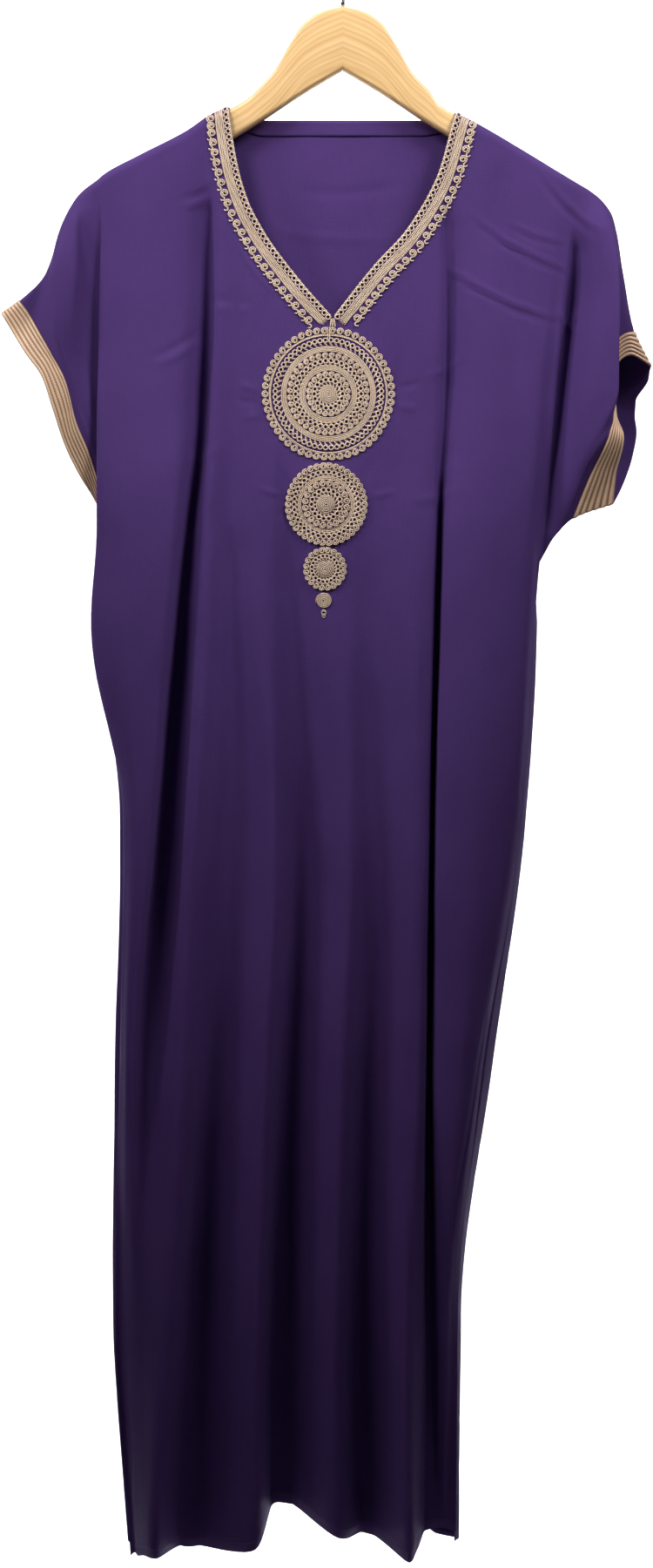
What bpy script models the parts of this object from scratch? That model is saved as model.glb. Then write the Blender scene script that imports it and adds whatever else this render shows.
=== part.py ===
"""Moroccan kaftan (a short-sleeved gandoura) hanging on a wooden hanger.

Front faces -Y, +X is to the right, +Z up. The origin is where the rail bears inside the top of
the hanger's hook. The cloth is built as folded walls: each panel is a surface carried by named
fold lines that run from shoulder or neck to hem. Tables are in millimetres.
"""
import math
from collections import namedtuple

import bmesh
import bpy

MM = 0.001
COLLECTION = "moroccan_kaftan_on_hanger"

# Cloth
WALL = 1.2 * MM
SEAM_GAP = 0.35 * MM
FLAT_SEAM = 0.8 * MM
EDGE_STRIP = 3.4 * MM
SHOULDER_RADIUS = 8.5 * MM
SLIT_TOP = 1.20
SLIT_SPREAD = 6.0 * MM
SLIT_RUN = 0.25

# Applied trim
TRIM_GAP = 0.4 * MM
CORD_BASE = 0.9 * MM
CORD_RISE = 0.9 * MM
BRAID_WIDTH = 14.0 * MM
COIL_WIDTH = 9.0 * MM
COIL_COUNT = 24
SHOULDER_TURN = 26.0 * MM

# Hanger
ARM_THICK = 11.0 * MM
ARM_ROUND = 4.5 * MM
ARM_SINK = 2.5 * MM
MITRE_GAP = 0.3 * MM
HOOK_WIRE = 1.9 * MM
HOOK_RADIUS = 20.0 * MM
HOOK_SEAT = 59.7 * MM

# Heights below the origin at which every fold line is given, in metres
LEVELS = (0.42, 0.53, 0.62, 0.80, 1.05, 1.30, 1.545)

# One row a fold line, from the wearer's right to left as seen from the front. top_x, top_drop:
# where it leaves the shoulder or the neck. hem_drop: where it ends. x: place across at LEVELS.
# y: depth at the top and at LEVELS, negative towards the front.
Fold = namedtuple("Fold", "name top_x top_drop hem_drop x y")

FRONT_FOLDS = (
    Fold("side_left", -224, 213, 1537,
         (-206, -208, -223, -206, -213, -220, -208),
         (-8.5, -3, -1, -2, -3, -5, 3, 10)),
    Fold("left_edge", -219, 208.5, 1533,
         (-225, -227, -233, -206, -211, -216, -204),
         (-8.5, -16, -20, -20, -17, -15, -2, -2)),
    Fold("left_crest", -186, 191, 1530,
         (-188, -193, -198, -191, -204, -207, -200),
         (-8.5, -23, -34, -36, -37, -30, -14, -14)),
    Fold("left_fall", -142, 169, 1525,
         (-137, -150, -161, -178, -197, -199, -196),
         (-8.5, -22, -32, -34, -36, -33, -22, -24)),
    Fold("left_valley", -119, 154, 1520,
         (-132, -146, -158, -172, -190, -191, -192),
         (-8.5, -8, -5, -5, -8, -22, -28, -34)),
    Fold("neck_left", -104, 148, 1515,
         (-116, -124, -128, -140, -155, -174, -185),
         (-8.5, -17, -26, -29, -33, -38, -44, -50)),
    Fold("valley_2", -90, 221, 1528,
         (-99, -103, -100, -90, -111, -132, -142),
         (-10, -15, -20, -21, -22, -12, 2, 6)),
    Fold("ridge_2", -74, 256, 1507,
         (-79, -80, -77, -66, -78, -88, -90),
         (-10, -17, -24, -28, -32, -36, -42, -48)),
    Fold("valley_3", -46, 295, 1482,
         (-50, -48, -43, -30, -41, -51, -53),
         (-11, -16, -20, -19, -16, -4, 8, 15)),
    Fold("neck_point", -9, 337, 1495,
         (-11, -12, -9, 5, -6, -12, -9),
         (-12, -17, -24, -27, -30, -34, -42, -48)),
    Fold("valley_4", 29, 290, 1514,
         (29, 31, 35, 44, 31, 26, 35),
         (-11, -16, -21, -22, -22, -14, -4, 4)),
    Fold("ridge_4", 60, 256, 1519,
         (62, 64, 67, 72, 65, 58, 62),
         (-10, -16, -22, -25, -28, -34, -42, -50)),
    Fold("right_lip", 87, 208, 1515,
         (84, 84, 83, 80, 78, 74, 74),
         (-10, -14, -19, -22, -25, -28, -30, -30)),
    Fold("neck_right", 103, 153, 1510,
         (90, 90, 89, 85.5, 84, 84.5, 86),
         (-8.5, -9, -6, -5, -4, 0, 2, 10)),
    Fold("right_fold", 123, 163, 1508,
         (96, 95, 94, 90.5, 89, 95, 95),
         (-8.5, -17, -26, -28, -30, -28, -14, 6)),
    Fold("right_crest", 162, 185, 1508,
         (138, 132, 129, 123, 110, 101, 101),
         (-8.5, -22, -32, -35, -38, -34, -16, 4)),
    Fold("right_fall", 196, 205, 1510,
         (177, 171, 169, 159, 126, 107, 107),
         (-8.5, -20, -26, -27, -28, -26, -10, 8)),
    Fold("side_right", 214, 215.5, 1512,
         (191, 185, 179, 170, 133, 113, 113),
         (-8.5, -10, -6, -6, -6, -10, 2, 12)),
)

BACK_FOLDS = (
    Fold("side_left", -224, 213, 1537,
         (-206, -208, -223, -206, -213, -220, -208),
         (8.5, 10, -1, -2, -3, -5, 3, 10)),
    Fold("left_bulge", -219, 208.5, 1531,
         (-202, -204, -228, -211, -219, -224, -213),
         (8.5, 14, 11, 9, 8, 6, 16, 22)),
    Fold("left_crest", -186, 191, 1528,
         (-182, -184, -195, -191, -198, -208, -199),
         (8.5, 14, 20, 24, 28, 36, 44, 52)),
    Fold("left_valley", -142, 169, 1520,
         (-151, -153, -153, -153, -168, -178, -168),
         (8.5, 11, 12, 13, 14, 20, 28, 34)),
    Fold("neck_left", -104, 148, 1510,
         (-114, -118, -118, -121, -131, -143, -136),
         (8.5, 16, 26, 31, 36, 46, 58, 68)),
    Fold("valley_2", -71, 158, 1500,
         (-75, -76, -76, -78, -92, -105, -100),
         (9, 13, 14, 14, 14, 18, 26, 36)),
    Fold("ridge_2", -35, 158, 1490,
         (-38, -39, -40, -41, -54, -70, -66),
         (9, 15, 22, 27, 32, 42, 56, 70)),
    Fold("centre", 0, 158, 1484,
         (-2, -3, -3, -5, -20, -34, -30),
         (9, 13, 15, 15, 14, 18, 26, 36)),
    Fold("ridge_3", 37, 158, 1488,
         (38, 38, 36, 32, 16, 0, 5),
         (9, 15, 22, 27, 32, 44, 58, 72)),
    Fold("valley_3", 71, 158, 1500,
         (74, 75, 72, 67, 52, 35, 40),
         (9, 13, 14, 14, 14, 18, 26, 34)),
    Fold("neck_right", 103, 153, 1515,
         (110, 112, 110, 105, 87, 66, 71),
         (8.5, 16, 26, 30, 34, 42, 52, 60)),
    Fold("right_valley", 148, 177, 1530,
         (146, 145, 144, 136, 110, 89, 95),
         (8.5, 12, 14, 14, 14, 18, 26, 32)),
    Fold("right_bulge", 205, 210, 1535,
         (176, 174, 184, 176, 146, 118, 118),
         (8.5, 11, 12, 13, 16, 20, 26, 32)),
    Fold("side_right", 214, 215.5, 1533,
         (191, 185, 179, 170, 133, 113, 113),
         (8.5, 10, -1, -6, -6, -10, 2, 12)),
)

# Corners of a panel's top line: shoulder end, neck corner, point of the V, neck corner, shoulder
FRONT_CORNERS = (0, 5, 9, 13, 17)
BACK_CORNERS = (0, 4, 10, 13)

# Columns of the walls: how each stretch between two fold lines is divided. Beside a neck corner
# the columns crowd at the top, where the cloth rounds over the hanger.
EVEN_2 = (1 / 2,)
EVEN_3 = (1 / 3, 2 / 3)
FRONT_STEPS = ((), EVEN_2, EVEN_2, EVEN_2, EVEN_3, (0.05, 0.13, 0.5), EVEN_3, EVEN_3, EVEN_3,
               EVEN_3, EVEN_3, EVEN_3, (0.5, 0.84, 0.94), EVEN_2, EVEN_3, EVEN_2, ())
BACK_STEPS = ((), EVEN_2, EVEN_2, EVEN_3, (0.05, 0.2, 0.55), EVEN_2, EVEN_2, EVEN_2, EVEN_2,
              (0.45, 0.8, 0.95), EVEN_2, EVEN_2, ())

# Rows near the top edge follow the cloth over the shoulder: drop below the edge
TOP_ROWS = (0.0, 0.52 * MM, 4.25 * MM, 8.5 * MM)
YOKE_ROWS = 9
BODY_ROWS = 11
# Fold shares beside a neck corner: how far the columns are turned aside, and by how much
CORNER_REACH = 0.13
CORNER_CLEAR = 0.15
# Drop of the underarm, where the side seam ends and the sleeve begins
UNDERARM_LEFT = 0.530
UNDERARM_RIGHT = 0.560

# The line of the hanger arms above the neck opening, which the shoulder line would follow
NECK_RISE = 92 * MM

# Sleeves. Top: the fold from the hanger's end to the cuff's top corner, as (x, drop). Under: the
# underarm line from the side seam to the cuff's lower corner.
LEFT_TOP = ((-224, 213), (-235, 220), (-246, 232), (-258, 254), (-266, 279), (-270, 293),
            (-283, 309), (-297, 321), (-314, 333))
LEFT_UNDER = ((-208, 530), (-214, 522), (-221, 513), (-229, 504))
LEFT_UNDER_DEPTH = -1
RIGHT_TOP = ((214, 215.5), (225, 221.5), (239, 233), (248, 247), (251, 261), (254, 280),
             (260, 304), (265, 328), (269, 349), (285, 381))
RIGHT_UNDER = ((183, 560), (185, 556), (193, 542), (201, 532), (213, 520), (225, 518),
               (251, 506))
RIGHT_UNDER_DEPTH = -12

# Lines that carry a half sleeve, from the body out to the cuff's inner and open edges. top and
# under: shares of the top fold and of the underarm line at which a line starts and ends. Between
# them it passes (x, drop, y) at SLEEVE_SHARES of the way down.
SleeveLine = namedtuple("SleeveLine", "name top under x drop y")
SLEEVE_SHARES = (0.10, 0.25, 0.40, 0.55, 0.70, 0.85)
LEFT_FRONT = (
    SleeveLine("valley", 0.12, 0.15, (-236, -237, -234, -229, -223, -217),
               (246, 286, 327, 370, 411, 452), (-8, -8, -7, -6, -5, -4)),
    SleeveLine("rise", 0.20, 0.25, (-245, -243, -247, -249, -237, -223),
               (257, 298, 335, 369, 414, 456), (-14, -21, -23, -21, -14, -7)),
    SleeveLine("crest", 0.36, 0.35, (-258, -264, -262, -254, -241, -226),
               (268, 304, 345, 375, 419, 460), (-15, -24, -26, -23, -16, -8)),
    SleeveLine("facet", 0.62, 0.45, (-269, -269, -266, -255, -243, -228),
               (290, 314, 353, 383, 424, 464), (-6, -12, -17, -21, -17, -9)),
    SleeveLine("cuff_inner", 0.867, 0.55, (-288, -276, -265, -253, -245, -231),
               (333, 353, 372, 396, 431, 468), (-4, -11, -17, -20, -17, -9)),
    SleeveLine("cuff_edge", 1.0, 1.0, (-305, -291, -276, -266, -256, -241),
               (348, 370, 391, 421, 453, 485), (-5, -12, -17, -18, -15, -8)),
)
LEFT_BACK = (
    SleeveLine("slope", 0.25, 0.25, (-240, -243, -243, -238, -232, -222),
               (258, 298, 338, 378, 420, 460), (10, 13, 14, 13, 9, 4)),
    SleeveLine("facet", 0.62, 0.40, (-267, -263, -256, -248, -240, -227),
               (300, 329, 357, 388, 427, 464), (8, 13, 15, 14, 10, 5)),
    SleeveLine("cuff_inner", 0.867, 0.55, (-288, -276, -265, -253, -245, -231),
               (333, 353, 372, 396, 431, 468), (6, 12, 15, 14, 10, 5)),
    SleeveLine("cuff_edge", 1.0, 1.0, (-305, -291, -276, -266, -256, -241),
               (348, 370, 391, 421, 453, 485), (5, 12, 15, 14, 10, 5)),
)
RIGHT_FRONT = (
    SleeveLine("slope", 0.08, 0.16, (226, 221, 214, 207, 201, 196),
               (257, 307, 357, 408, 457, 503), (-13, -18, -20, -20, -17, -12)),
    SleeveLine("crest", 0.16, 0.28, (240, 240, 236, 228, 218, 205),
               (262, 306, 356, 405, 451, 496), (-18, -26, -31, -32, -28, -17)),
    SleeveLine("roll", 0.25, 0.38, (248.5, 250, 250.5, 250.5, 233, 214),
               (270, 308, 355, 402, 447, 489), (-18, -30, -36, -37, -34, -21)),
    SleeveLine("behind", 0.45, 0.47, (253.5, 252, 251, 250, 238, 221),
               (292, 330, 366, 408, 446, 483), (-7, -11, -19, -30, -34, -23)),
    SleeveLine("cuff_inner", 0.809, 0.56, (262.5, 252.5, 248, 248, 243, 229),
               (350, 357, 373, 413, 444, 477), (-5, -6, -9, -21, -33, -23)),
    SleeveLine("cuff_edge", 1.0, 1.0, (266, 253, 250, 251, 257, 252),
               (371, 380, 393, 426, 449, 480), (-5, -5, -5, -14, -29, -18)),
)
RIGHT_BACK = (
    SleeveLine("slope", 0.25, 0.25, (238, 238, 233, 226, 215, 202),
               (268, 312, 358, 405, 452, 502), (10, 14, 15, 15, 12, 4)),
    SleeveLine("facet", 0.52, 0.42, (256, 251, 245, 241, 233, 220),
               (313, 350, 386, 421, 457, 495), (9, 15, 18, 18, 15, 4)),
    SleeveLine("cuff_inner", 0.809, 0.56, (268, 258, 253, 254, 249, 238),
               (362, 385, 413, 438, 462, 487), (8, 15, 20, 20, 16, 4)),
    SleeveLine("cuff_edge", 1.0, 1.0, (284, 274, 274, 276, 272, 262),
               (392, 411, 424, 440, 462, 488), (6, 15, 18, 19, 15, 4)),
)
# Columns of the cuff's braid, and how far inside its first column the braid begins
CUFF_STEPS = 6
CUFF_INSET = 0.3
# Rows in which the right front cuff lies tucked behind the sleeve's roll: where its braid starts
TUCKED = {5: 0.7, 6: 0.8, 7: 0.8, 8: 0.8, 9: 0.8}
TUCK_GAP = 0.4 * MM
# The sleeve's first column stands this far out from the body's side and below it
SLEEVE_GAP = 3.0 * MM
SLEEVE_DROP = 1.7 * MM
# The fold along the top of the sleeve: its round, and the share of the sleeve that it takes
SLEEVE_FOLD_RADIUS = 3.5 * MM
SLEEVE_FOLD_SHARE = 0.03

# Rosettes on the chest: centre x, drop, radius, rings, scallops round the edge, dome height
Rosette = namedtuple("Rosette", "name x drop radius rings scallops dome")
ROSETTES = (
    Rosette("rosette_large", -13, 407, 61.5, 5, 24, 0.0),
    Rosette("rosette_medium", -15, 507.5, 38.6, 3, 16, 0.6),
    Rosette("rosette_small", -16, 566.6, 20.6, 2, 12, 0.5),
)
DROP_RADIUS = 7.8
DROP_CENTRE = (-17, 595.6)
DROP_TAIL = 609.5

# Hanger outline from the peak to the neck corner, then along under the shoulder
NECK_ARM_TOP = ((0, 60), (18, 64), (35, 74), (49, 94), (62, 116), (82, 137))
ARM_BOTTOM = ((0, 116), (33, 135), (71, 159), (98, 175), (150, 205), (190, 227), (215, 236))
ARM_END = 218 * MM
ARM_END_RIGHT = 208 * MM


# ---------------------------------------------------------------- smooth curves

class Smooth:
    """Curve through knots that keeps crests and troughs where the table puts them."""

    def __init__(self, knots, values):
        self.knots = [float(k) for k in knots]
        self.values = [float(v) for v in values]
        steps = [b - a for a, b in zip(self.knots, self.knots[1:])]
        rises = [b - a for a, b in zip(self.values, self.values[1:])]
        grades = [r / s for r, s in zip(rises, steps)]
        self.slopes = [grades[0]]
        for i in range(1, len(grades)):
            before, after = grades[i - 1], grades[i]
            if before * after <= 0.0:
                self.slopes.append(0.0)
                continue
            heavy = 2.0 * steps[i] + steps[i - 1]
            light = steps[i] + 2.0 * steps[i - 1]
            self.slopes.append((heavy + light) / (heavy / before + light / after))
        self.slopes.append(grades[-1])

    def __call__(self, t):
        knots = self.knots
        t = min(max(t, knots[0]), knots[-1])
        i = 0
        while i < len(knots) - 2 and t > knots[i + 1]:
            i += 1
        step = knots[i + 1] - knots[i]
        u = (t - knots[i]) / step
        rise = u * u * (3.0 - 2.0 * u)
        lead = u * (1.0 - u) * (1.0 - u)
        trail = u * u * (u - 1.0)
        value = self.values[i] + rise * (self.values[i + 1] - self.values[i])
        return value + step * (lead * self.slopes[i] + trail * self.slopes[i + 1])


def ease(t):
    t = min(max(t, 0.0), 1.0)
    return t * t * (3.0 - 2.0 * t)


def mix(a, b, t):
    return a + (b - a) * t


def add(p, q, scale=1.0):
    return tuple(a + scale * b for a, b in zip(p, q))


def minus(p, q):
    return tuple(a - b for a, b in zip(p, q))


def cross(p, q):
    return (p[1] * q[2] - p[2] * q[1], p[2] * q[0] - p[0] * q[2], p[0] * q[1] - p[1] * q[0])


def unit(p):
    length = math.sqrt(sum(a * a for a in p))
    return tuple(a / length for a in p)


# ---------------------------------------------------------------- panels

def shoulder_curve():
    """Height of the shoulder line across the garment, over the neck opening too."""
    left = [(f.top_x, f.top_drop) for f in FRONT_FOLDS[:6]]
    right = [(f.top_x, f.top_drop) for f in FRONT_FOLDS[13:]]
    points = left + [(0, NECK_RISE / MM)] + right
    return Smooth([p[0] * MM for p in points], [-p[1] * MM for p in points])


SHOULDER = shoulder_curve()


def round_over(x, z):
    """Share of its full depth that the cloth has where it rounds over the hanger."""
    drop = SHOULDER(x) - z
    if drop >= SHOULDER_RADIUS:
        return 1.0
    rest = 1.0 - max(drop, 0.0) / SHOULDER_RADIUS
    return math.sqrt(max(1.0 - rest * rest, 0.0))


class Panel:
    """The front or the back: a surface carried by fold lines, with its half sleeves."""

    def __init__(self, folds, corners, side):
        self.folds = folds
        self.side = side
        self.across = []
        self.depth = []
        for fold in folds:
            drops = (-fold.top_drop * MM,) + tuple(-level for level in LEVELS)
            heights = [-z for z in drops]
            self.across.append(Smooth(heights, [v * MM for v in (fold.top_x,) + fold.x]))
            self.depth.append(Smooth(heights, [v * MM for v in fold.y]))
        self.tops = []
        for start, end in zip(corners, corners[1:]):
            span = range(start, end + 1)
            self.tops.append((start, end, Smooth(span, [-folds[i].top_drop * MM for i in span])))
        self.seams = []
        for fold in (FRONT_FOLDS[0], FRONT_FOLDS[-1]):
            heights = [fold.top_drop * MM] + list(LEVELS)
            self.seams.append(Smooth(heights, [v * MM for v in fold.y]))
        count = range(len(folds))
        self.hem = Smooth(count, [-fold.hem_drop * MM for fold in folds])

    def top(self, s):
        for start, end, curve in self.tops:
            if start <= s <= end:
                return curve(s)
        return self.tops[-1][2](s)

    def slit(self, z):
        return SLIT_SPREAD * ease((-SLIT_TOP - z) / SLIT_RUN)

    def seam(self, at_right, z):
        """Where the panel's side lies at a height, before its gap; one seam below the underarm."""
        i = len(self.folds) - 1 if at_right else 0
        under = UNDERARM_RIGHT if at_right else UNDERARM_LEFT
        open_above = -z < under - 1.0e-6
        depth = self.depth[i] if open_above else self.seams[int(at_right)]
        return self.across[i](-z), depth(-z), open_above

    def point(self, s, z):
        """Middle of the wall at fold share s and height z."""
        last = len(self.folds) - 1
        i = min(int(s), last - 1)
        near = range(max(i - 1, 0), min(i + 2, last) + 1)
        xs = [self.across[k](-z) for k in near]
        ys = []
        for k in near:
            y = self.depth[k](-z)
            if k in (0, last):
                _x, y, open_above = self.seam(k == last, z)
                strip = 0.0 if open_above else EDGE_STRIP
                y += self.side * (SEAM_GAP + strip + self.slit(z))
            ys.append(y)
        x = Smooth(near, xs)(s)
        y = Smooth(near, ys)(s) * round_over(x, z)
        if self.side < 0:
            y = min(y, -SEAM_GAP)
        else:
            y = max(y, SEAM_GAP)
        return (x, y, z)

    def edge_point(self, at_right, z, gap):
        x, y, open_above = self.seam(at_right, z)
        y = y * round_over(x, z)
        if open_above:
            outward = SLEEVE_GAP if at_right else -SLEEVE_GAP
            return (x + outward, y, z - SLEEVE_DROP)
        return (x, y + self.side * (gap + self.slit(z)), z)


def column_shares(steps):
    """Fold shares of the wall's columns, at the top edge and lower down."""
    top, low = [0.0], [0.0]
    for i, inner in enumerate(steps):
        for k, share in enumerate(inner):
            top.append(i + share)
            low.append(i + (k + 1) / (len(inner) + 1))
        top.append(i + 1.0)
        low.append(i + 1.0)
    return top, low


def beside_corner(panel, share):
    """Below the top edge a column that starts at a neck corner keeps clear of the neckline."""
    if panel.side > 0:
        return share
    for corner, way in ((FRONT_CORNERS[1], 1.0), (FRONT_CORNERS[3], -1.0)):
        beyond = (share - corner) * way
        if -1.0e-9 <= beyond < CORNER_REACH:
            return share - way * CORNER_CLEAR * (1.0 - beyond / CORNER_REACH)
    return share


def body_grid(panel, steps):
    """Rows of points from the top edge to the hem, with a seam column at each side."""
    top, low = column_shares(steps)
    last = len(panel.folds) - 1
    rows = []
    yoke = len(TOP_ROWS) - 1 + YOKE_ROWS
    for j in range(yoke + BODY_ROWS + 1):
        row = []
        for share_top, share_low in zip(top, low):
            settle = ease((j - 3) / 4.0) if j > 3 else 0.0
            turned = beside_corner(panel, share_top)
            turned = mix(share_top, turned, min(j / 2.0, 1.0))
            s = mix(turned, share_low, settle)
            z_top = panel.top(share_top)
            z_under = -mix(UNDERARM_LEFT, UNDERARM_RIGHT, s / last)
            if j < len(TOP_ROWS):
                z = z_top - TOP_ROWS[j]
            elif j <= yoke:
                z = mix(z_top - TOP_ROWS[-1], z_under, (j - 3) / YOKE_ROWS)
            else:
                z = mix(z_under, panel.hem(s), (j - yoke) / BODY_ROWS)
            x, _y, _z = panel.point(s, z)
            if turned != share_top and j < len(TOP_ROWS):
                z = min(z, SHOULDER(x) - TOP_ROWS[j])
            row.append(panel.point(s, z))
        gap = FLAT_SEAM if j == yoke else SEAM_GAP
        left = panel.edge_point(False, row[0][2], gap)
        right = panel.edge_point(True, row[-1][2], gap)
        if j == 0:
            left = (left[0], panel.side * SEAM_GAP, left[2])
            right = (right[0], panel.side * SEAM_GAP, right[2])
        rows.append([left] + row + [right])
    return rows, yoke


def along(points, share):
    """Point at a share of the length of a line of (x, drop) pairs."""
    lengths = [0.0]
    for a, b in zip(points, points[1:]):
        lengths.append(lengths[-1] + math.dist(a, b))
    x = Smooth(lengths, [p[0] for p in points])(share * lengths[-1])
    drop = Smooth(lengths, [p[1] for p in points])(share * lengths[-1])
    return x * MM, -drop * MM


def sleeve_grid(panel, rows, yoke, lines, at_right):
    """Columns of the half sleeve, from the body's edge column out to the cuff edge."""
    column = [row[-1] if at_right else row[0] for row in rows[:yoke + 1]]
    top = RIGHT_TOP if at_right else LEFT_TOP
    under = RIGHT_UNDER if at_right else LEFT_UNDER
    corner_depth = (RIGHT_UNDER_DEPTH if at_right else LEFT_UNDER_DEPTH) * MM
    start, finish = column[0], column[-1]
    seam_depth = finish[1] - panel.side * FLAT_SEAM
    shares = (0.0,) + SLEEVE_SHARES + (1.0,)
    curves = []
    for line in lines:
        x_top, z_top = along(top, line.top)
        x_under, z_under = along(under, line.under)
        low = mix(seam_depth, corner_depth, ease(line.under)) + panel.side * FLAT_SEAM
        xs = [x_top] + [v * MM for v in line.x] + [x_under]
        zs = [z_top] + [-v * MM for v in line.drop] + [z_under]
        ys = [panel.side * SLEEVE_FOLD_RADIUS] + [v * MM for v in line.y] + [low]
        curves.append((Smooth(shares, xs), Smooth(shares, ys), Smooth(shares, zs)))
    grid = []
    for j, inner in enumerate(column):
        a = (start[2] - inner[2]) / (start[2] - finish[2])
        fold = min(a / SLEEVE_FOLD_SHARE, 1.0)
        fold = math.sqrt(max(1.0 - (1.0 - fold) ** 2, 0.0))
        knots = [inner]
        for curve_x, curve_y, curve_z in curves:
            y = curve_y(a) * fold if j else panel.side * SEAM_GAP
            knots.append((curve_x(a), y, curve_z(a)))
        line = []
        for i in range(1, len(knots) - 1):
            line.append(knots[i])
        for k in range(1, CUFF_STEPS + 1):
            share = k / CUFF_STEPS
            line.append(tuple(mix(p, q, share) for p, q in zip(knots[-2], knots[-1])))
        grid.append(line)
    return grid


# ---------------------------------------------------------------- meshes

def make_object(name, verts, faces, colour, roughness, metallic=0.0):
    mesh = bpy.data.meshes.new(name)
    mesh.from_pydata(verts, [], faces)
    mesh.validate()
    mesh.update()
    obj = bpy.data.objects.new(name, mesh)
    bpy.data.collections[COLLECTION].objects.link(obj)
    obj.data.materials.append(finish(name, colour, roughness, metallic))
    return obj


def finish(name, colour, roughness, metallic):
    material = bpy.data.materials.new(name)
    material.use_nodes = True
    shader = material.node_tree.nodes["Principled BSDF"]
    shader.inputs["Base Color"].default_value = (*colour, 1.0)
    shader.inputs["Roughness"].default_value = roughness
    shader.inputs["Metallic"].default_value = metallic
    return material


def face_outward(obj):
    form = bmesh.new()
    form.from_mesh(obj.data)
    bmesh.ops.recalc_face_normals(form, faces=form.faces)
    form.to_mesh(obj.data)
    form.free()
    return obj


def cloth_wall(name, panel, rows, left, right):
    """An open surface of the body and its half sleeves, made a wall by Solidify."""
    verts, faces = [], []
    index = []
    for row in rows:
        index.append(list(range(len(verts), len(verts) + len(row))))
        verts.extend(row)

    def quad(a, b, c, d):
        faces.append((a, b, c, d) if panel.side < 0 else (d, c, b, a))

    for upper, lower in zip(index, index[1:]):
        for k in range(len(upper) - 1):
            quad(upper[k], lower[k], lower[k + 1], upper[k + 1])
    for grid, at_right in ((left, False), (right, True)):
        lines = []
        for j, line in enumerate(grid):
            first = index[j][-1] if at_right else index[j][0]
            lines.append([first] + list(range(len(verts), len(verts) + len(line))))
            verts.extend(line)
        for upper, lower in zip(lines, lines[1:]):
            for k in range(len(upper) - 1):
                a, b, c, d = upper[k], lower[k], lower[k + 1], upper[k + 1]
                for corners in ((a, b, c), (a, c, d)):
                    turned = at_right != (panel.side < 0)
                    faces.append(tuple(reversed(corners)) if turned else corners)
    wall = make_object(name, verts, faces, (0.075, 0.030, 0.150), 0.75)
    solid = wall.modifiers.new("wall", "SOLIDIFY")
    solid.thickness = WALL
    solid.offset = 0.0
    return wall


def sheet_body(name, base, normals, rise, colour, closed=False):
    """Closed body over a grid of base points: a plain underside, and a top raised by rise."""
    verts, faces = [], []
    count = len(base[0])
    for level in (0, 1):
        for j, row in enumerate(base):
            for k, point in enumerate(row):
                height = rise(j, k) if level else 0.0
                verts.append(add(point, normals[j][k], height))
    half = len(base) * count
    stop = count if closed else count - 1
    for j in range(len(base) - 1):
        for k in range(stop):
            a, b = j * count + k, j * count + (k + 1) % count
            c, d = b + count, a + count
            faces.extend(((a, d, c), (a, c, b)))
            faces.append((half + a, half + b, half + c))
            faces.append((half + a, half + c, half + d))
    ends = (0, len(base) - 1)
    for j in ends:
        for k in range(stop):
            a, b = j * count + k, j * count + (k + 1) % count
            faces.append((a, b, half + b, half + a))
    if not closed:
        for j in range(len(base) - 1):
            for k in (0, count - 1):
                a, d = j * count + k, (j + 1) * count + k
                faces.append((a, d, half + d, half + a))
    return face_outward(make_object(name, verts, faces, colour, 0.45, 0.3))


# ---------------------------------------------------------------- trim that lies on the front

TRIM_GOLD = (0.62, 0.50, 0.36)
CUFF_GOLD = (0.42, 0.27, 0.17)


def share_at(panel, x, z):
    """Fold share at which the panel passes x, at a height where it hangs smooth."""
    low, high = 0, len(panel.folds) - 1
    while high - low > 1:
        middle = (low + high) // 2
        if panel.across[middle](-z) <= x:
            low = middle
        else:
            high = middle
    left, right = float(low), float(high)
    for _ in range(24):
        s = (left + right) / 2.0
        if panel.point(s, z)[0] <= x:
            left = s
        else:
            right = s
    return (left + right) / 2.0


def on_front(panel, x, z):
    """Point of the front's wall at x and z, and the way out of the cloth there."""
    step = 1.5 * MM
    centre = panel.point(share_at(panel, x, z), z)
    beside = panel.point(share_at(panel, x + step, z), z)
    low = z - step
    below = panel.point(share_at(panel, x, low), low)
    normal = unit(cross(minus(beside, centre), minus(below, centre)))
    if normal[1] > 0.0:
        normal = tuple(-v for v in normal)
    return centre, normal


def lift(panel, x, z, height):
    point, normal = on_front(panel, x, z)
    return add(point, normal, WALL / 2.0 + TRIM_GAP + height), normal


def rosette_body(panel, spec):
    """Concentric cord rings with a scalloped edge of coils, laid on the chest."""
    segments = spec.scallops * 2
    centre_x, centre_z = spec.x * MM, -spec.drop * MM
    rings = [spec.radius * MM * (k + 0.6) / (spec.rings + 0.6) for k in range(spec.rings + 1)]
    base, normals = [], []
    for n, radius in enumerate(rings):
        row, row_normals = [], []
        for k in range(segments):
            angle = math.tau * k / segments
            scallop = 1.0 - 0.035 * (k % 2) if n == len(rings) - 1 else 1.0
            x = centre_x + radius * scallop * math.cos(angle)
            z = centre_z + radius * scallop * math.sin(angle)
            point, normal = lift(panel, x, z, 0.0)
            row.append(point)
            row_normals.append(normal)
        base.append(row)
        normals.append(row_normals)

    def rise(j, _k):
        dome = spec.dome * MM * (1.0 - rings[j] / rings[-1])
        return CORD_BASE + CORD_RISE * (j % 2) + dome

    obj = sheet_body(spec.name, base, normals, rise, TRIM_GOLD, closed=True)
    cap_centre(obj, segments, len(base))
    return obj


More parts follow.
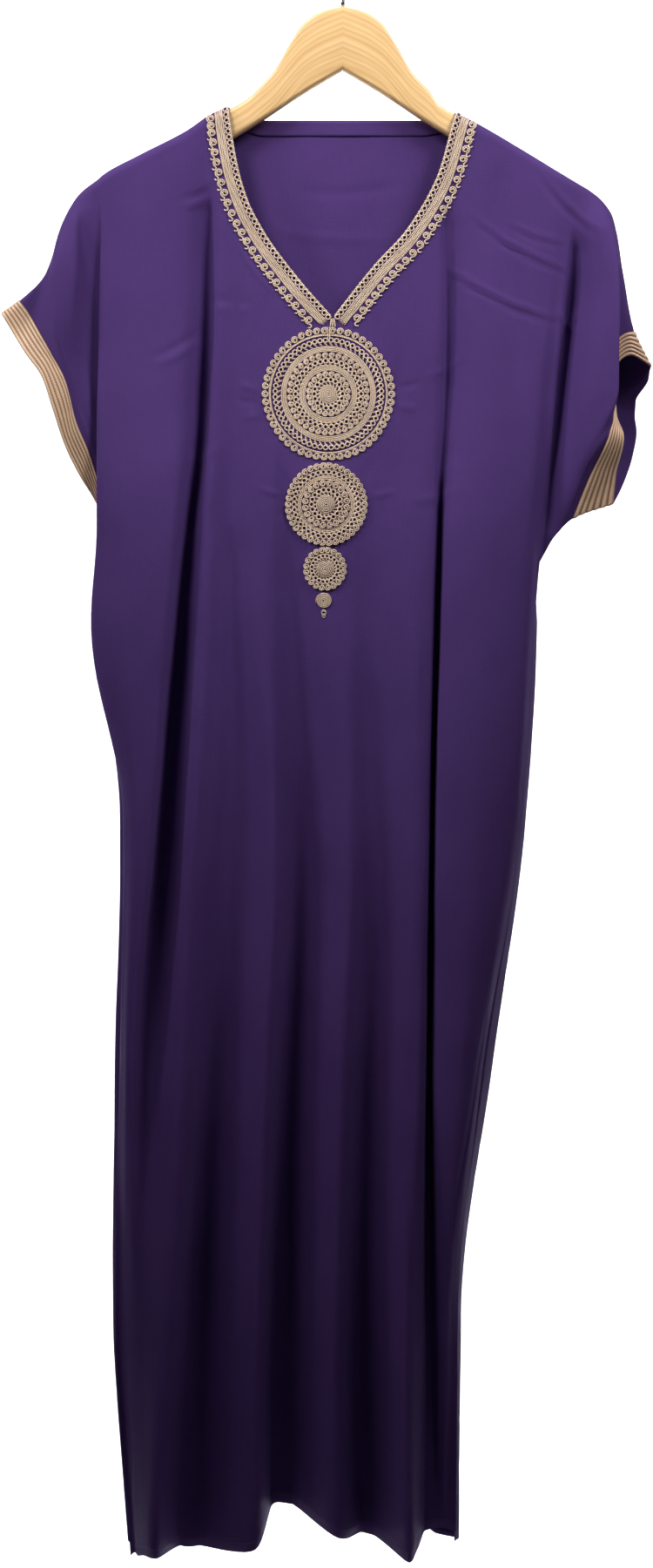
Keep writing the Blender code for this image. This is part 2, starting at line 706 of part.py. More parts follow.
def cap_centre(obj, segments, rows):
    """Close the small middle of a rosette by joining its inner ring top and bottom."""
    form = bmesh.new()
    form.from_mesh(obj.data)
    form.verts.ensure_lookup_table()
    half = segments * rows
    inner_walls = []
    for face in form.faces:
        ids = {v.index for v in face.verts}
        if all(i % half < segments for i in ids) and len({i // half for i in ids}) == 2:
            inner_walls.append(face)
    bmesh.ops.delete(form, geom=inner_walls, context="FACES_ONLY")
    form.verts.ensure_lookup_table()
    form.faces.new([form.verts[i] for i in range(segments)])
    form.faces.new([form.verts[half + i] for i in reversed(range(segments))])
    bmesh.ops.recalc_face_normals(form, faces=form.faces)
    form.to_mesh(obj.data)
    form.free()


def drop_coil(panel):
    """The last coil below the rosettes, with the knot that ends its cord."""
    x0, drop0 = DROP_CENTRE
    outline = []
    for k in range(14):
        angle = math.radians(-60 + 300 * k / 13)
        outline.append((x0 + DROP_RADIUS * math.cos(angle), drop0 - DROP_RADIUS * math.sin(angle)))
    outline.append((x0 - 2.2, drop0 + 9.5))
    outline.append((x0 - 2.4, DROP_TAIL - 2.0))
    outline.append((x0, DROP_TAIL))
    outline.append((x0 + 2.4, DROP_TAIL - 2.0))
    outline.append((x0 + 2.2, drop0 + 9.5))
    points = [lift(panel, x * MM, -drop * MM, 0.0) for x, drop in outline]
    count = len(points)
    verts = [p for p, _n in points] + [add(p, n, CORD_BASE + CORD_RISE) for p, n in points]
    faces = [tuple(range(count)), tuple(reversed(range(count, 2 * count)))]
    for k in range(count):
        a, b = k, (k + 1) % count
        faces.append((a, b, count + b, count + a))
    return face_outward(make_object("drop_coil", verts, faces, TRIM_GOLD, 0.45, 0.3))


def neck_edge(panel, s):
    """Point of the neckline at fold share s, in the plane of x and z."""
    z = panel.top(s)
    x, _y, _z = panel.point(s, z)
    return x, z


def neck_stations(panel, at_right, count, spacing):
    """Places along the neckline from the shoulder to the point of the V, and the way outward."""
    corner, point = (13, 9) if at_right else (5, 9)
    fine = [mix(corner, point, k / 400) for k in range(401)]
    line = [neck_edge(panel, s) for s in fine]
    lengths = [0.0]
    for a, b in zip(line, line[1:]):
        lengths.append(lengths[-1] + math.dist(a, b))
    reach = BRAID_WIDTH + COIL_WIDTH
    end_x = line[0][0] + (reach if at_right else -reach)
    along_shoulder = unit((end_x - line[0][0], SHOULDER(end_x) - line[0][1] - 0.4 * MM))
    stations = []
    for k in range(count + 1):
        target = lengths[-1] * spacing(k / count)
        i = 1
        while i < len(lengths) - 1 and lengths[i] < target:
            i += 1
        share = (target - lengths[i - 1]) / (lengths[i] - lengths[i - 1])
        here = tuple(mix(a, b, share) for a, b in zip(line[i - 1], line[i]))
        before, after = line[max(i - 12, 0)], line[min(i + 12, 400)]
        run = unit((after[0] - before[0], after[1] - before[1], 0.0))
        out = (run[1], -run[0]) if not at_right else (-run[1], run[0])
        turn = ease(target / SHOULDER_TURN)
        out = unit(tuple(mix(a, b, turn) for a, b in zip(along_shoulder, out)))
        stations.append((here, out, target))
    return stations, lengths[-1]


def shoulder_first(share):
    """Spacing that crowds at the shoulder, where the cloth rounds over the hanger."""
    return share ** 1.6


def coil_spacing(share):
    """Two stations a coil, and four a coil over the shoulder."""
    step = share * (COIL_COUNT * 2 + 6)
    halves = min(step, 12.0) / 2.0 + max(step - 12.0, 0.0)
    return halves / (COIL_COUNT * 2)


def strip_on_front(name, panel, at_right, offsets, stations, rise):
    """A flat braid whose long edges lie at the given offsets out from the neckline."""
    point_x = neck_edge(panel, 9)[0]
    top = ROSETTES[0]
    ring = (top.radius + 0.6) * MM
    base, normals = [], []
    for here, out, _run in stations:
        row, row_normals = [], []
        reach = offsets[-1]
        while math.dist((here[0] + out[0] * reach, here[1] + out[1] * reach),
                        (top.x * MM, -top.drop * MM)) < ring and reach > offsets[0]:
            reach -= 0.25 * MM
        squeeze = (reach - offsets[0]) / (offsets[-1] - offsets[0])
        if squeeze < 0.3:
            continue
        for offset in offsets:
            d = offsets[0] + (offset - offsets[0]) * squeeze
            x = here[0] + out[0] * d
            z = here[1] + out[1] * d
            limit = point_x + (0.3 * MM if at_right else -0.3 * MM)
            x = max(x, limit) if at_right else min(x, limit)
            ridge = SHOULDER(x) - 0.35 * MM
            z = min(z, ridge)
            point, normal = lift(panel, x, z, 0.0)
            row.append(point)
            row_normals.append(normal)
        base.append(row)
        normals.append(row_normals)
    return sheet_body(name, base, normals, rise, TRIM_GOLD)


def neck_trim(panel, at_right):
    hand = "right" if at_right else "left"
    stations, _length = neck_stations(panel, at_right, 22, shoulder_first)
    cords = 4
    offsets = [k * BRAID_WIDTH / (2 * cords) + 0.6 * MM for k in range(2 * cords + 1)]

    def cord(_j, k):
        return CORD_BASE + CORD_RISE * (k % 2)

    strip_on_front(f"neck_braid_{hand}", panel, at_right, offsets, stations, cord)
    fine, length = neck_stations(panel, at_right, COIL_COUNT * 2 + 6, coil_spacing)
    inner = BRAID_WIDTH + 1.2 * MM
    scalloped = []
    for here, out, run in fine:
        phase = run / length * COIL_COUNT
        bulge = abs(math.sin(math.pi * phase))
        scalloped.append((here, out, bulge))
    coil_strip(f"neck_coils_{hand}", panel, at_right, inner, scalloped)


def coil_strip(name, panel, at_right, inner, stations):
    """The row of coils outside the neck braid, one scallop a coil."""
    top = ROSETTES[0]
    ring = (top.radius + 0.8) * MM
    base, normals, bulges = [], [], []
    for here, out, bulge in stations:
        outer = inner + COIL_WIDTH * (0.6 + 0.4 * bulge)
        place = (here[0] + out[0] * outer, here[1] + out[1] * outer)
        if math.dist(place, (top.x * MM, -top.drop * MM)) < ring:
            break
        row, row_normals = [], []
        for d in (inner, outer):
            x = here[0] + out[0] * d
            z = min(here[1] + out[1] * d, SHOULDER(x) - 0.35 * MM)
            point, normal = lift(panel, x, z, 0.0)
            row.append(point)
            row_normals.append(normal)
        base.append(row)
        normals.append(row_normals)
        bulges.append(bulge)

    def rise(j, _k):
        return CORD_BASE + 0.5 * MM + 0.5 * MM * bulges[j]

    return sheet_body(name, base, normals, rise, TRIM_GOLD)


# ---------------------------------------------------------------- cuffs and facing

def grid_normal(grid, j, k, way):
    """Way out of a surface given by rows of points."""
    up, down = grid[max(j - 1, 0)][k], grid[min(j + 1, len(grid) - 1)][k]
    before, after = grid[j][max(k - 1, 0)], grid[j][min(k + 1, len(grid[j]) - 1)]
    return unit(tuple(way * v for v in cross(minus(after, before), minus(down, up))))


def cuff_band(name, grid, way, tucked):
    """Ribbed braid on the last stretch of a half sleeve, made from the sleeve's own points."""
    first = len(grid[0]) - 1 - CUFF_STEPS
    base, normals = [], []
    for j, line in enumerate(grid):
        row_normals = [grid_normal(grid, j, first + k, way) for k in range(CUFF_STEPS + 1)]
        places = list(line[first:])
        start = tucked.get(j, CUFF_INSET)
        places[0] = tuple(mix(a, b, start) for a, b in zip(places[0], places[1]))
        row_normals[0] = unit(tuple(mix(a, b, start) for a, b in zip(*row_normals[:2])))
        lift_off = WALL / 2.0 + TRIM_GAP + (TUCK_GAP if j in tucked else 0.0)
        row = [add(p, n, lift_off) for p, n in zip(places, row_normals)]
        base.append(row)
        normals.append(row_normals)

    def rib(_j, k):
        return CORD_BASE + CORD_RISE * (k % 2) * 0.8

    return sheet_body(name, base, normals, rib, CUFF_GOLD)


def back_facing(panel):
    """The turned strip that faces the inside of the back neck."""
    depth = 14.0 * MM
    columns = 14
    base, normals = [], []
    for row_share in (0.0, 0.5, 1.0):
        row, row_normals = [], []
        for k in range(columns + 1):
            s = mix(4.35, 9.65, k / columns)
            z = panel.top(s) - 0.8 * MM - depth * row_share
            x, y, _z = panel.point(s, z)
            row.append((x, y - WALL / 2.0 - 0.35 * MM, z))
            row_normals.append((0.0, -1.0, 0.0))
        base.append(row)
        normals.append(row_normals)

    def thin(_j, _k):
        return 1.0 * MM

    body = sheet_body("back_neck_facing", base, normals, thin, (0.065, 0.026, 0.130))
    return body


# ---------------------------------------------------------------- hanger

def arm_outline(at_right):
    """Top and bottom drop of a hanger arm along x, from the mitre to the rounded end."""
    end = ARM_END_RIGHT if at_right else ARM_END
    top = Smooth([p[0] * MM for p in NECK_ARM_TOP], [-p[1] * MM for p in NECK_ARM_TOP])
    bottom = Smooth([p[0] * MM for p in ARM_BOTTOM], [-p[1] * MM for p in ARM_BOTTOM])
    sign = 1.0 if at_right else -1.0
    stations = []
    places = [MITRE_GAP / 2.0] + [v * MM for v in (10, 20, 30, 38, 49, 59, 70, 82)]
    reach = end - 104 * MM
    for share in (0.0, 0.3, 0.6, 0.85, 0.94, 0.985, 1.0):
        places.append(104 * MM + reach * share)
    for x in places:
        under = SHOULDER(sign * x) - ARM_SINK
        high = top(x) if x < 83 * MM else under
        low = bottom(x)
        near_end = max(0.0, (x - (end - 14 * MM)) / (14 * MM))
        if near_end > 0.0:
            middle = (high + low) / 2.0
            shrink = math.sqrt(max(1.0 - near_end * near_end, 0.02))
            low = middle + (low - middle) * shrink
            high = high - (1.0 - shrink) * 6 * MM
        stations.append((sign * x, high, low))
    return stations


def arm_section(x, high, low):
    """Rounded rectangle of the arm's wood in a slice across it."""
    half = ARM_THICK / 2.0
    r = min(ARM_ROUND, (high - low) / 3.0)
    points = []
    for cy, cz, start in ((half - r, high - r, 0), (-(half - r), high - r, 90),
                          (-(half - r), low + r, 180), (half - r, low + r, 270)):
        for step in (0, 45, 90):
            angle = math.radians(start + step)
            points.append((x, cy + r * math.cos(angle), cz + r * math.sin(angle)))
    return points


def hanger_arm(at_right):
    sections = [arm_section(*station) for station in arm_outline(at_right)]
    verts = [p for section in sections for p in section]
    count = len(sections[0])
    faces = [tuple(range(count))]
    faces.append(tuple(reversed(range(len(verts) - count, len(verts)))))
    for j in range(len(sections) - 1):
        for k in range(count):
            a, b = j * count + k, j * count + (k + 1) % count
            faces.append((a, a + count, b + count, b))
    name = "hanger_arm_right" if at_right else "hanger_arm_left"
    return face_outward(make_object(name, verts, faces, (0.80, 0.56, 0.32), 0.5))


def hanger_hook():
    """Steel wire hook, its inside top at the origin."""
    centre = HOOK_RADIUS
    radius = HOOK_RADIUS + HOOK_WIRE
    points = [(0.0, -HOOK_SEAT), (0.0, -HOOK_SEAT + 8 * MM), (1.5 * MM, -centre - radius - 2 * MM),
              (6.5 * MM, -centre - radius + 1.5 * MM)]
    for k in range(19):
        angle = math.radians(-58 + 250 * k / 18)
        points.append((radius * math.cos(angle), -centre + radius * math.sin(angle)))
    curve = bpy.data.curves.new("hanger_hook", "CURVE")
    curve.dimensions = "3D"
    curve.bevel_depth = HOOK_WIRE
    curve.bevel_resolution = 2
    curve.use_fill_caps = True
    spline = curve.splines.new("POLY")
    spline.points.add(len(points) - 1)
    for point, (x, z) in zip(spline.points, points):
        point.co = (x, 0.0, z, 1.0)
    hook = bpy.data.objects.new("hanger_hook", curve)
    bpy.data.collections[COLLECTION].objects.link(hook)
    curve.materials.append(finish("hanger_hook", (0.60, 0.60, 0.62), 0.3, 1.0))
    return hook


# ---------------------------------------------------------------- the whole

def clear_scene():
    for obj in list(bpy.data.objects):
        bpy.data.objects.remove(obj, do_unlink=True)
    collection = bpy.data.collections.new(COLLECTION)
    bpy.context.scene.collection.children.link(collection)


def build_panel(name, folds, corners, side, steps):
    panel = Panel(folds, corners, side)
    rows, yoke = body_grid(panel, steps)
    left_lines = LEFT_FRONT if side < 0 else LEFT_BACK
    right_lines = RIGHT_FRONT if side < 0 else RIGHT_BACK
    left = sleeve_grid(panel, rows, yoke, left_lines, at_right=False)
    right = sleeve_grid(panel, rows, yoke, right_lines, at_right=True)
    cloth_wall(name, panel, rows, left, right)
    place = "front" if side < 0 else "back"
    cuff_band(f"cuff_braid_left_{place}", left, -side, {})
    cuff_band(f"cuff_braid_right_{place}", right, side, TUCKED if side < 0 else {})
    return panel


def main():
    clear_scene()
    front = build_panel("front_panel", FRONT_FOLDS, FRONT_CORNERS, -1, FRONT_STEPS)
    back = build_panel("back_panel", BACK_FOLDS, BACK_CORNERS, 1, BACK_STEPS)
    back_facing(back)
    for at_right in (False, True):
        neck_trim(front, at_right)
        hanger_arm(at_right)
    for spec in ROSETTES:
        rosette_body(front, spec)
    drop_coil(front)
    hanger_hook()


main()
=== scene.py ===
"""A Moroccan kaftan (a short-sleeved gandoura) hanging on a wooden hanger: the look.

Front faces -Y, +X is to the right, +Z up. The origin is where the rail bears inside the top of
the hanger's hook. Tables are in millimetres, drop is the distance below the origin.
"""
import math
from collections import namedtuple

import bmesh
import bpy
import numpy as np
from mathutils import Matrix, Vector
from mathutils.bvhtree import BVHTree

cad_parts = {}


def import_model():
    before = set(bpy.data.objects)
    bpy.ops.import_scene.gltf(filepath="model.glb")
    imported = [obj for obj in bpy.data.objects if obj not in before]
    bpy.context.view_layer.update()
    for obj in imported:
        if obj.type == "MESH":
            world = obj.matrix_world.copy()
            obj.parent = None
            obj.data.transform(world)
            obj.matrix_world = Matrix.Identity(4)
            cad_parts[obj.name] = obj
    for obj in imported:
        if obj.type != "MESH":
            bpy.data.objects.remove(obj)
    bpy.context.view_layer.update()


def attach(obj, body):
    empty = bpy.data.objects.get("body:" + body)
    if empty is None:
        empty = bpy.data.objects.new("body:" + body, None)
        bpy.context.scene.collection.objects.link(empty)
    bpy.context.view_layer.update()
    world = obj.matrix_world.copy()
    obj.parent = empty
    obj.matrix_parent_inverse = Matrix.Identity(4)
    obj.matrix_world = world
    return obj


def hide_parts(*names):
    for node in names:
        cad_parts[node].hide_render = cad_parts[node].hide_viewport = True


MM = 0.001

# Lengths in metres too small to matter: for dividing, between two knots, and beside the underarm
TINY = 1.0e-9
KNOT_GAP = 1.0e-5
HAIR = 1.0e-6

# Left and right as seen from the front, for what comes in pairs
HANDS = (("left", False), ("right", True))

# Cloth: thickness, half the gap between front and back at their seams and at the underarm, strip
# kept flat beside a side seam, round over the hanger, and the slits at the lower sides
SHELL = 0.5 * MM
SEAM_GAP = 0.35 * MM
FLAT_SEAM = 0.6 * MM
EDGE_STRIP = 3.4 * MM
SHOULDER_RADIUS = 8.5 * MM
SLIT_TOP = 1.20
SLIT_SPREAD = 6.0 * MM
SLIT_RUN = 0.25

# Heights below the origin at which every fold line is given, in metres
LEVELS = (0.42, 0.53, 0.62, 0.80, 1.05, 1.30, 1.545)

# One row a fold line, from the wearer's right to left as seen from the front. top_x, top_drop:
# where it leaves the shoulder or the neck. hem_drop: where it ends. x: place across at LEVELS.
# y: depth at the top and at LEVELS, negative towards the front.
Fold = namedtuple("Fold", "name top_x top_drop hem_drop x y")

FRONT_FOLDS = (
    Fold("side_left", -224, 213, 1537,
         (-206, -208, -223, -206, -213, -220, -208),
         (-8.5, -3, -1, -2, -3, -5, 3, 10)),
    Fold("left_edge", -219, 208.5, 1533,
         (-225, -227, -233, -206, -211, -216, -204),
         (-8.5, -16, -20, -20, -17, -15, -2, -2)),
    Fold("left_crest", -186, 191, 1530,
         (-188, -193, -198, -191, -204, -207, -200),
         (-8.5, -23, -34, -36, -37, -30, -14, -14)),
    Fold("left_fall", -142, 169, 1525,
         (-148, -156, -164, -178, -197, -199, -196),
         (-8.5, -22, -32, -34, -36, -33, -22, -24)),
    Fold("left_valley", -119, 154, 1520,
         (-127, -142, -152, -170, -190, -191, -192),
         (-8.5, -7, -3, -2, -5, -20, -28, -34)),
    Fold("neck_left", -104, 148, 1515,
         (-116, -124, -128, -138, -150, -168, -181),
         (-8.5, -17, -26, -29, -33, -38, -44, -50)),
    Fold("valley_2", -90, 221, 1528,
         (-99, -103, -100, -94, -120, -143, -152),
         (-10, -15, -20, -21, -22, -12, 2, 6)),
    Fold("ridge_2", -74, 256, 1507,
         (-79, -80, -77, -63, -72, -81, -84),
         (-10, -17, -24, -28, -32, -36, -42, -48)),
    Fold("valley_3", -46, 295, 1482,
         (-50, -48, -43, -38, -50, -61, -63),
         (-11, -16, -20, -19, -16, -4, 8, 15)),
    Fold("neck_point", -9, 337, 1495,
         (-11, -12, -9, 7, -1, -6, -4),
         (-12, -17, -24, -27, -30, -34, -42, -48)),
    Fold("valley_4", 29, 290, 1514,
         (29, 31, 35, 38, 24, 17, 27),
         (-11, -16, -21, -22, -22, -14, -4, 4)),
    Fold("ridge_4", 60, 256, 1519,
         (62, 64, 67, 74, 70, 62, 65),
         (-10, -16, -22, -25, -28, -34, -42, -50)),
    Fold("right_lip", 87, 208, 1515,
         (84, 84, 83, 80, 78, 74, 74),
         (-10, -14, -19, -22, -25, -28, -30, -30)),
    Fold("neck_right", 103, 153, 1510,
         (95, 91, 89, 85.5, 84, 84.5, 86),
         (-8.5, -9, -6, -5, -4, 0, 2, 10)),
    Fold("right_fold", 123, 163, 1508,
         (108, 98, 94, 90.5, 89, 95, 95),
         (-8.5, -17, -26, -28, -30, -28, -14, 6)),
    Fold("right_crest", 162, 185, 1508,
         (138, 132, 129, 123, 110, 101, 101),
         (-8.5, -22, -32, -35, -38, -34, -16, 4)),
    Fold("right_fall", 196, 205, 1510,
         (177, 171, 169, 159, 126, 107, 107),
         (-8.5, -20, -26, -27, -28, -26, -10, 8)),
    Fold("side_right", 214, 215.5, 1512,
         (191, 185, 179, 170, 133, 113, 113),
         (-8.5, -10, -6, -6, -6, -10, 2, 12)),
)

BACK_FOLDS = (
    Fold("side_left", -224, 213, 1537,
         (-206, -208, -223, -206, -213, -220, -208),
         (8.5, 10, -1, -2, -3, -5, 3, 10)),
    Fold("left_bulge", -219, 208.5, 1531,
         (-202, -204, -228, -211, -219, -224, -213),
         (8.5, 14, 11, 9, 8, 6, 16, 22)),
    Fold("left_crest", -186, 191, 1528,
         (-182, -184, -195, -191, -198, -208, -199),
         (8.5, 14, 20, 24, 28, 36, 44, 52)),
    Fold("left_valley", -142, 169, 1520,
         (-151, -153, -153, -153, -168, -178, -168),
         (8.5, 11, 12, 13, 14, 20, 28, 34)),
    Fold("neck_left", -104, 148, 1510,
         (-114, -118, -118, -121, -131, -143, -136),
         (8.5, 16, 26, 31, 36, 46, 58, 68)),
    Fold("valley_2", -71, 158, 1500,
         (-75, -76, -76, -78, -92, -105, -100),
         (9, 13, 14, 14, 14, 18, 26, 36)),
    Fold("ridge_2", -35, 158, 1490,
         (-38, -39, -40, -41, -54, -70, -66),
         (9, 15, 22, 27, 32, 42, 56, 70)),
    Fold("centre", 0, 158, 1484,
         (-2, -3, -3, -5, -20, -34, -30),
         (9, 13, 15, 15, 14, 18, 26, 36)),
    Fold("ridge_3", 37, 158, 1488,
         (38, 38, 36, 32, 16, 0, 5),
         (9, 15, 22, 27, 32, 44, 58, 72)),
    Fold("valley_3", 71, 158, 1500,
         (74, 75, 72, 67, 52, 35, 40),
         (9, 13, 14, 14, 14, 18, 26, 34)),
    Fold("neck_right", 103, 153, 1515,
         (110, 112, 110, 105, 87, 66, 71),
         (8.5, 16, 26, 30, 34, 42, 52, 60)),
    Fold("right_valley", 148, 177, 1530,
         (146, 145, 144, 136, 110, 89, 95),
         (8.5, 12, 14, 14, 14, 18, 26, 32)),
    Fold("right_bulge", 205, 210, 1535,
         (176, 174, 184, 176, 146, 118, 118),
         (8.5, 11, 12, 13, 16, 20, 26, 32)),
    Fold("side_right", 214, 215.5, 1533,
         (191, 185, 179, 170, 133, 113, 113),
         (8.5, 10, -1, -6, -6, -10, 2, 12)),
)

# Corners of a panel's top line: shoulder end, neck corner, point of the V, neck corner, shoulder
FRONT_CORNERS = (0, 5, 9, 13, 17)
BACK_CORNERS = (0, 4, 10, 13)

# Sleeves. Top: the fold from the hanger's end to the cuff's top corner, as (x, drop). Under: the
# underarm line from the side seam to the cuff's lower corner.
LEFT_TOP = ((-224, 213), (-235, 220), (-246, 232), (-258, 254), (-266, 279), (-270, 293),
            (-283, 309), (-297, 321), (-314, 333))
LEFT_UNDER = ((-208, 530), (-214, 522), (-221, 513), (-229, 504))
LEFT_UNDER_DEPTH = -1
RIGHT_TOP = ((214, 215.5), (225, 221.5), (239, 233), (248, 247), (251, 261), (254, 280),
             (260, 304), (265, 328), (269, 349), (285, 381))
RIGHT_UNDER = ((183, 560), (185, 556), (193, 542), (201, 532), (213, 520), (225, 518),
               (251, 506))
RIGHT_UNDER_DEPTH = -12

# Lines that carry a half sleeve, from the body out to the cuff's inner and open edges. top and
# under: shares of the top fold and of the underarm line at which a line starts and ends. Between
# them it passes (x, drop, y) at SLEEVE_SHARES of the way down.
SleeveLine = namedtuple("SleeveLine", "name top under x drop y")
SLEEVE_SHARES = (0.10, 0.25, 0.40, 0.55, 0.70, 0.85)
LEFT_FRONT = (
    SleeveLine("valley", 0.12, 0.15, (-236, -237, -234, -229, -223, -217),
               (246, 286, 327, 370, 411, 452), (-8, -8, -7, -6, -5, -4)),
    SleeveLine("rise", 0.20, 0.25, (-245, -243, -247, -249, -237, -223),
               (257, 298, 335, 369, 414, 456), (-14, -21, -23, -21, -14, -7)),
    SleeveLine("crest", 0.36, 0.35, (-258, -264, -262, -254, -241, -226),
               (268, 304, 345, 375, 419, 460), (-15, -24, -26, -23, -16, -8)),
    SleeveLine("facet", 0.62, 0.45, (-269, -269, -266, -255, -243, -228),
               (290, 314, 353, 383, 424, 464), (-6, -12, -17, -21, -17, -9)),
    SleeveLine("cuff_inner", 0.867, 0.55, (-288, -276, -265, -253, -245, -231),
               (333, 353, 372, 396, 431, 468), (-4, -11, -17, -20, -17, -9)),
    SleeveLine("cuff_edge", 1.0, 1.0, (-305, -291, -276, -266, -256, -241),
               (348, 370, 391, 421, 453, 485), (-5, -12, -17, -18, -15, -8)),
)
LEFT_BACK = (
    SleeveLine("slope", 0.25, 0.25, (-240, -243, -243, -238, -232, -222),
               (258, 298, 338, 378, 420, 460), (10, 13, 14, 13, 9, 4)),
    SleeveLine("facet", 0.62, 0.40, (-267, -263, -256, -248, -240, -227),
               (300, 329, 357, 388, 427, 464), (8, 13, 15, 14, 10, 5)),
    SleeveLine("cuff_inner", 0.867, 0.55, (-288, -276, -265, -253, -245, -231),
               (333, 353, 372, 396, 431, 468), (6, 12, 15, 14, 10, 5)),
    SleeveLine("cuff_edge", 1.0, 1.0, (-305, -291, -276, -266, -256, -241),
               (348, 370, 391, 421, 453, 485), (5, 12, 15, 14, 10, 5)),
)
RIGHT_FRONT = (
    SleeveLine("slope", 0.08, 0.16, (226, 221, 214, 207, 201, 196),
               (257, 307, 357, 408, 457, 503), (-13, -18, -20, -20, -17, -12)),
    SleeveLine("crest", 0.16, 0.28, (240, 240, 236, 228, 218, 205),
               (262, 306, 356, 405, 451, 496), (-18, -26, -31, -32, -28, -17)),
    SleeveLine("roll", 0.25, 0.38, (248.5, 250, 250.5, 250.5, 233, 214),
               (270, 308, 355, 402, 447, 489), (-18, -30, -36, -37, -34, -21)),
    SleeveLine("behind", 0.45, 0.47, (253.5, 252, 251, 250, 238, 221),
               (292, 330, 366, 408, 446, 483), (-7, -11, -19, -30, -34, -23)),
    SleeveLine("cuff_inner", 0.809, 0.56, (262.5, 252.5, 248, 248, 243, 229),
               (350, 357, 373, 413, 444, 477), (-5, -6, -9, -21, -33, -23)),
    SleeveLine("cuff_edge", 1.0, 1.0, (266, 253, 250, 251, 257, 252),
               (371, 380, 393, 426, 449, 480), (-5, -5, -5, -14, -29, -18)),
)
RIGHT_BACK = (
    SleeveLine("slope", 0.25, 0.25, (238, 238, 233, 226, 215, 202),
               (268, 312, 358, 405, 452, 502), (10, 14, 15, 15, 12, 4)),
    SleeveLine("facet", 0.52, 0.42, (256, 251, 245, 241, 233, 220),
               (313, 350, 386, 421, 457, 495), (9, 15, 18, 18, 15, 4)),
    SleeveLine("cuff_inner", 0.809, 0.56, (268, 258, 253, 254, 249, 238),
               (362, 385, 413, 438, 462, 487), (8, 15, 20, 20, 16, 4)),
    SleeveLine("cuff_edge", 1.0, 1.0, (284, 274, 274, 276, 272, 262),
               (392, 411, 424, 440, 462, 488), (6, 15, 18, 19, 15, 4)),
)

# Hanger outline from the peak to the neck corner, then along under the shoulder
NECK_ARM_TOP = ((0, 60), (18, 64), (35, 74), (49, 94), (62, 116), (82, 137))
ARM_BOTTOM = ((0, 116), (33, 135), (71, 159), (98, 175), (150, 205), (190, 227), (215, 236))

# Columns beside a neck corner: shares of a fold over which they turn aside, how far they turn and
# how they crowd towards the corner
CORNER_REACH = 0.13
CORNER_CLEAR = 0.15
CORNER_START = 0.5
CROWDING = 1.7

# Underarms below the origin, rise of the shoulder line at the middle of the neck, and the half
# sleeves: gap and drop at the body's edge, round of the top fold and its share of the way down
UNDERARM_LEFT = 0.530
UNDERARM_RIGHT = 0.560
NECK_RISE = 92 * MM
SLEEVE_GAP = 1.5 * MM
SLEEVE_DROP = 0.8 * MM
SLEEVE_FOLD_RADIUS = 3.5 * MM
SLEEVE_FOLD_SHARE = 0.03

# Fineness of the cloth: rows over the shoulder and the one by which columns have turned aside,
# rows to the underarm, rows to the hem, columns between two fold lines, columns between two
# sleeve lines, columns of a cuff, share of the yoke over which the columns even out
TOP_ROWS = tuple(v * MM for v in (0, 0.06, 0.25, 0.6, 1.1, 1.8, 2.6, 3.6, 4.8, 6.2, 8.5))
TURNED_ROW = 7
YOKE_ROWS = 108
BODY_ROWS = 66
FOLD_COLUMNS = 10
SLEEVE_COLUMNS = 6
CUFF_COLUMNS = 12
SETTLE_SHARE = 0.44

# Where a half sleeve grows from the body: how many columns in from the edge its curves start,
# and how it is evened out there: columns to each side, and rounds
BEHIND = 2
JOINT_REACH = 8
JOINT_ROUNDS = 10

# Creases fade out over so many columns from a side, and over so many rows from the top edge
FADE_COLUMNS = 12.0
FADE_START = 9
FADE_ROWS = 8.0

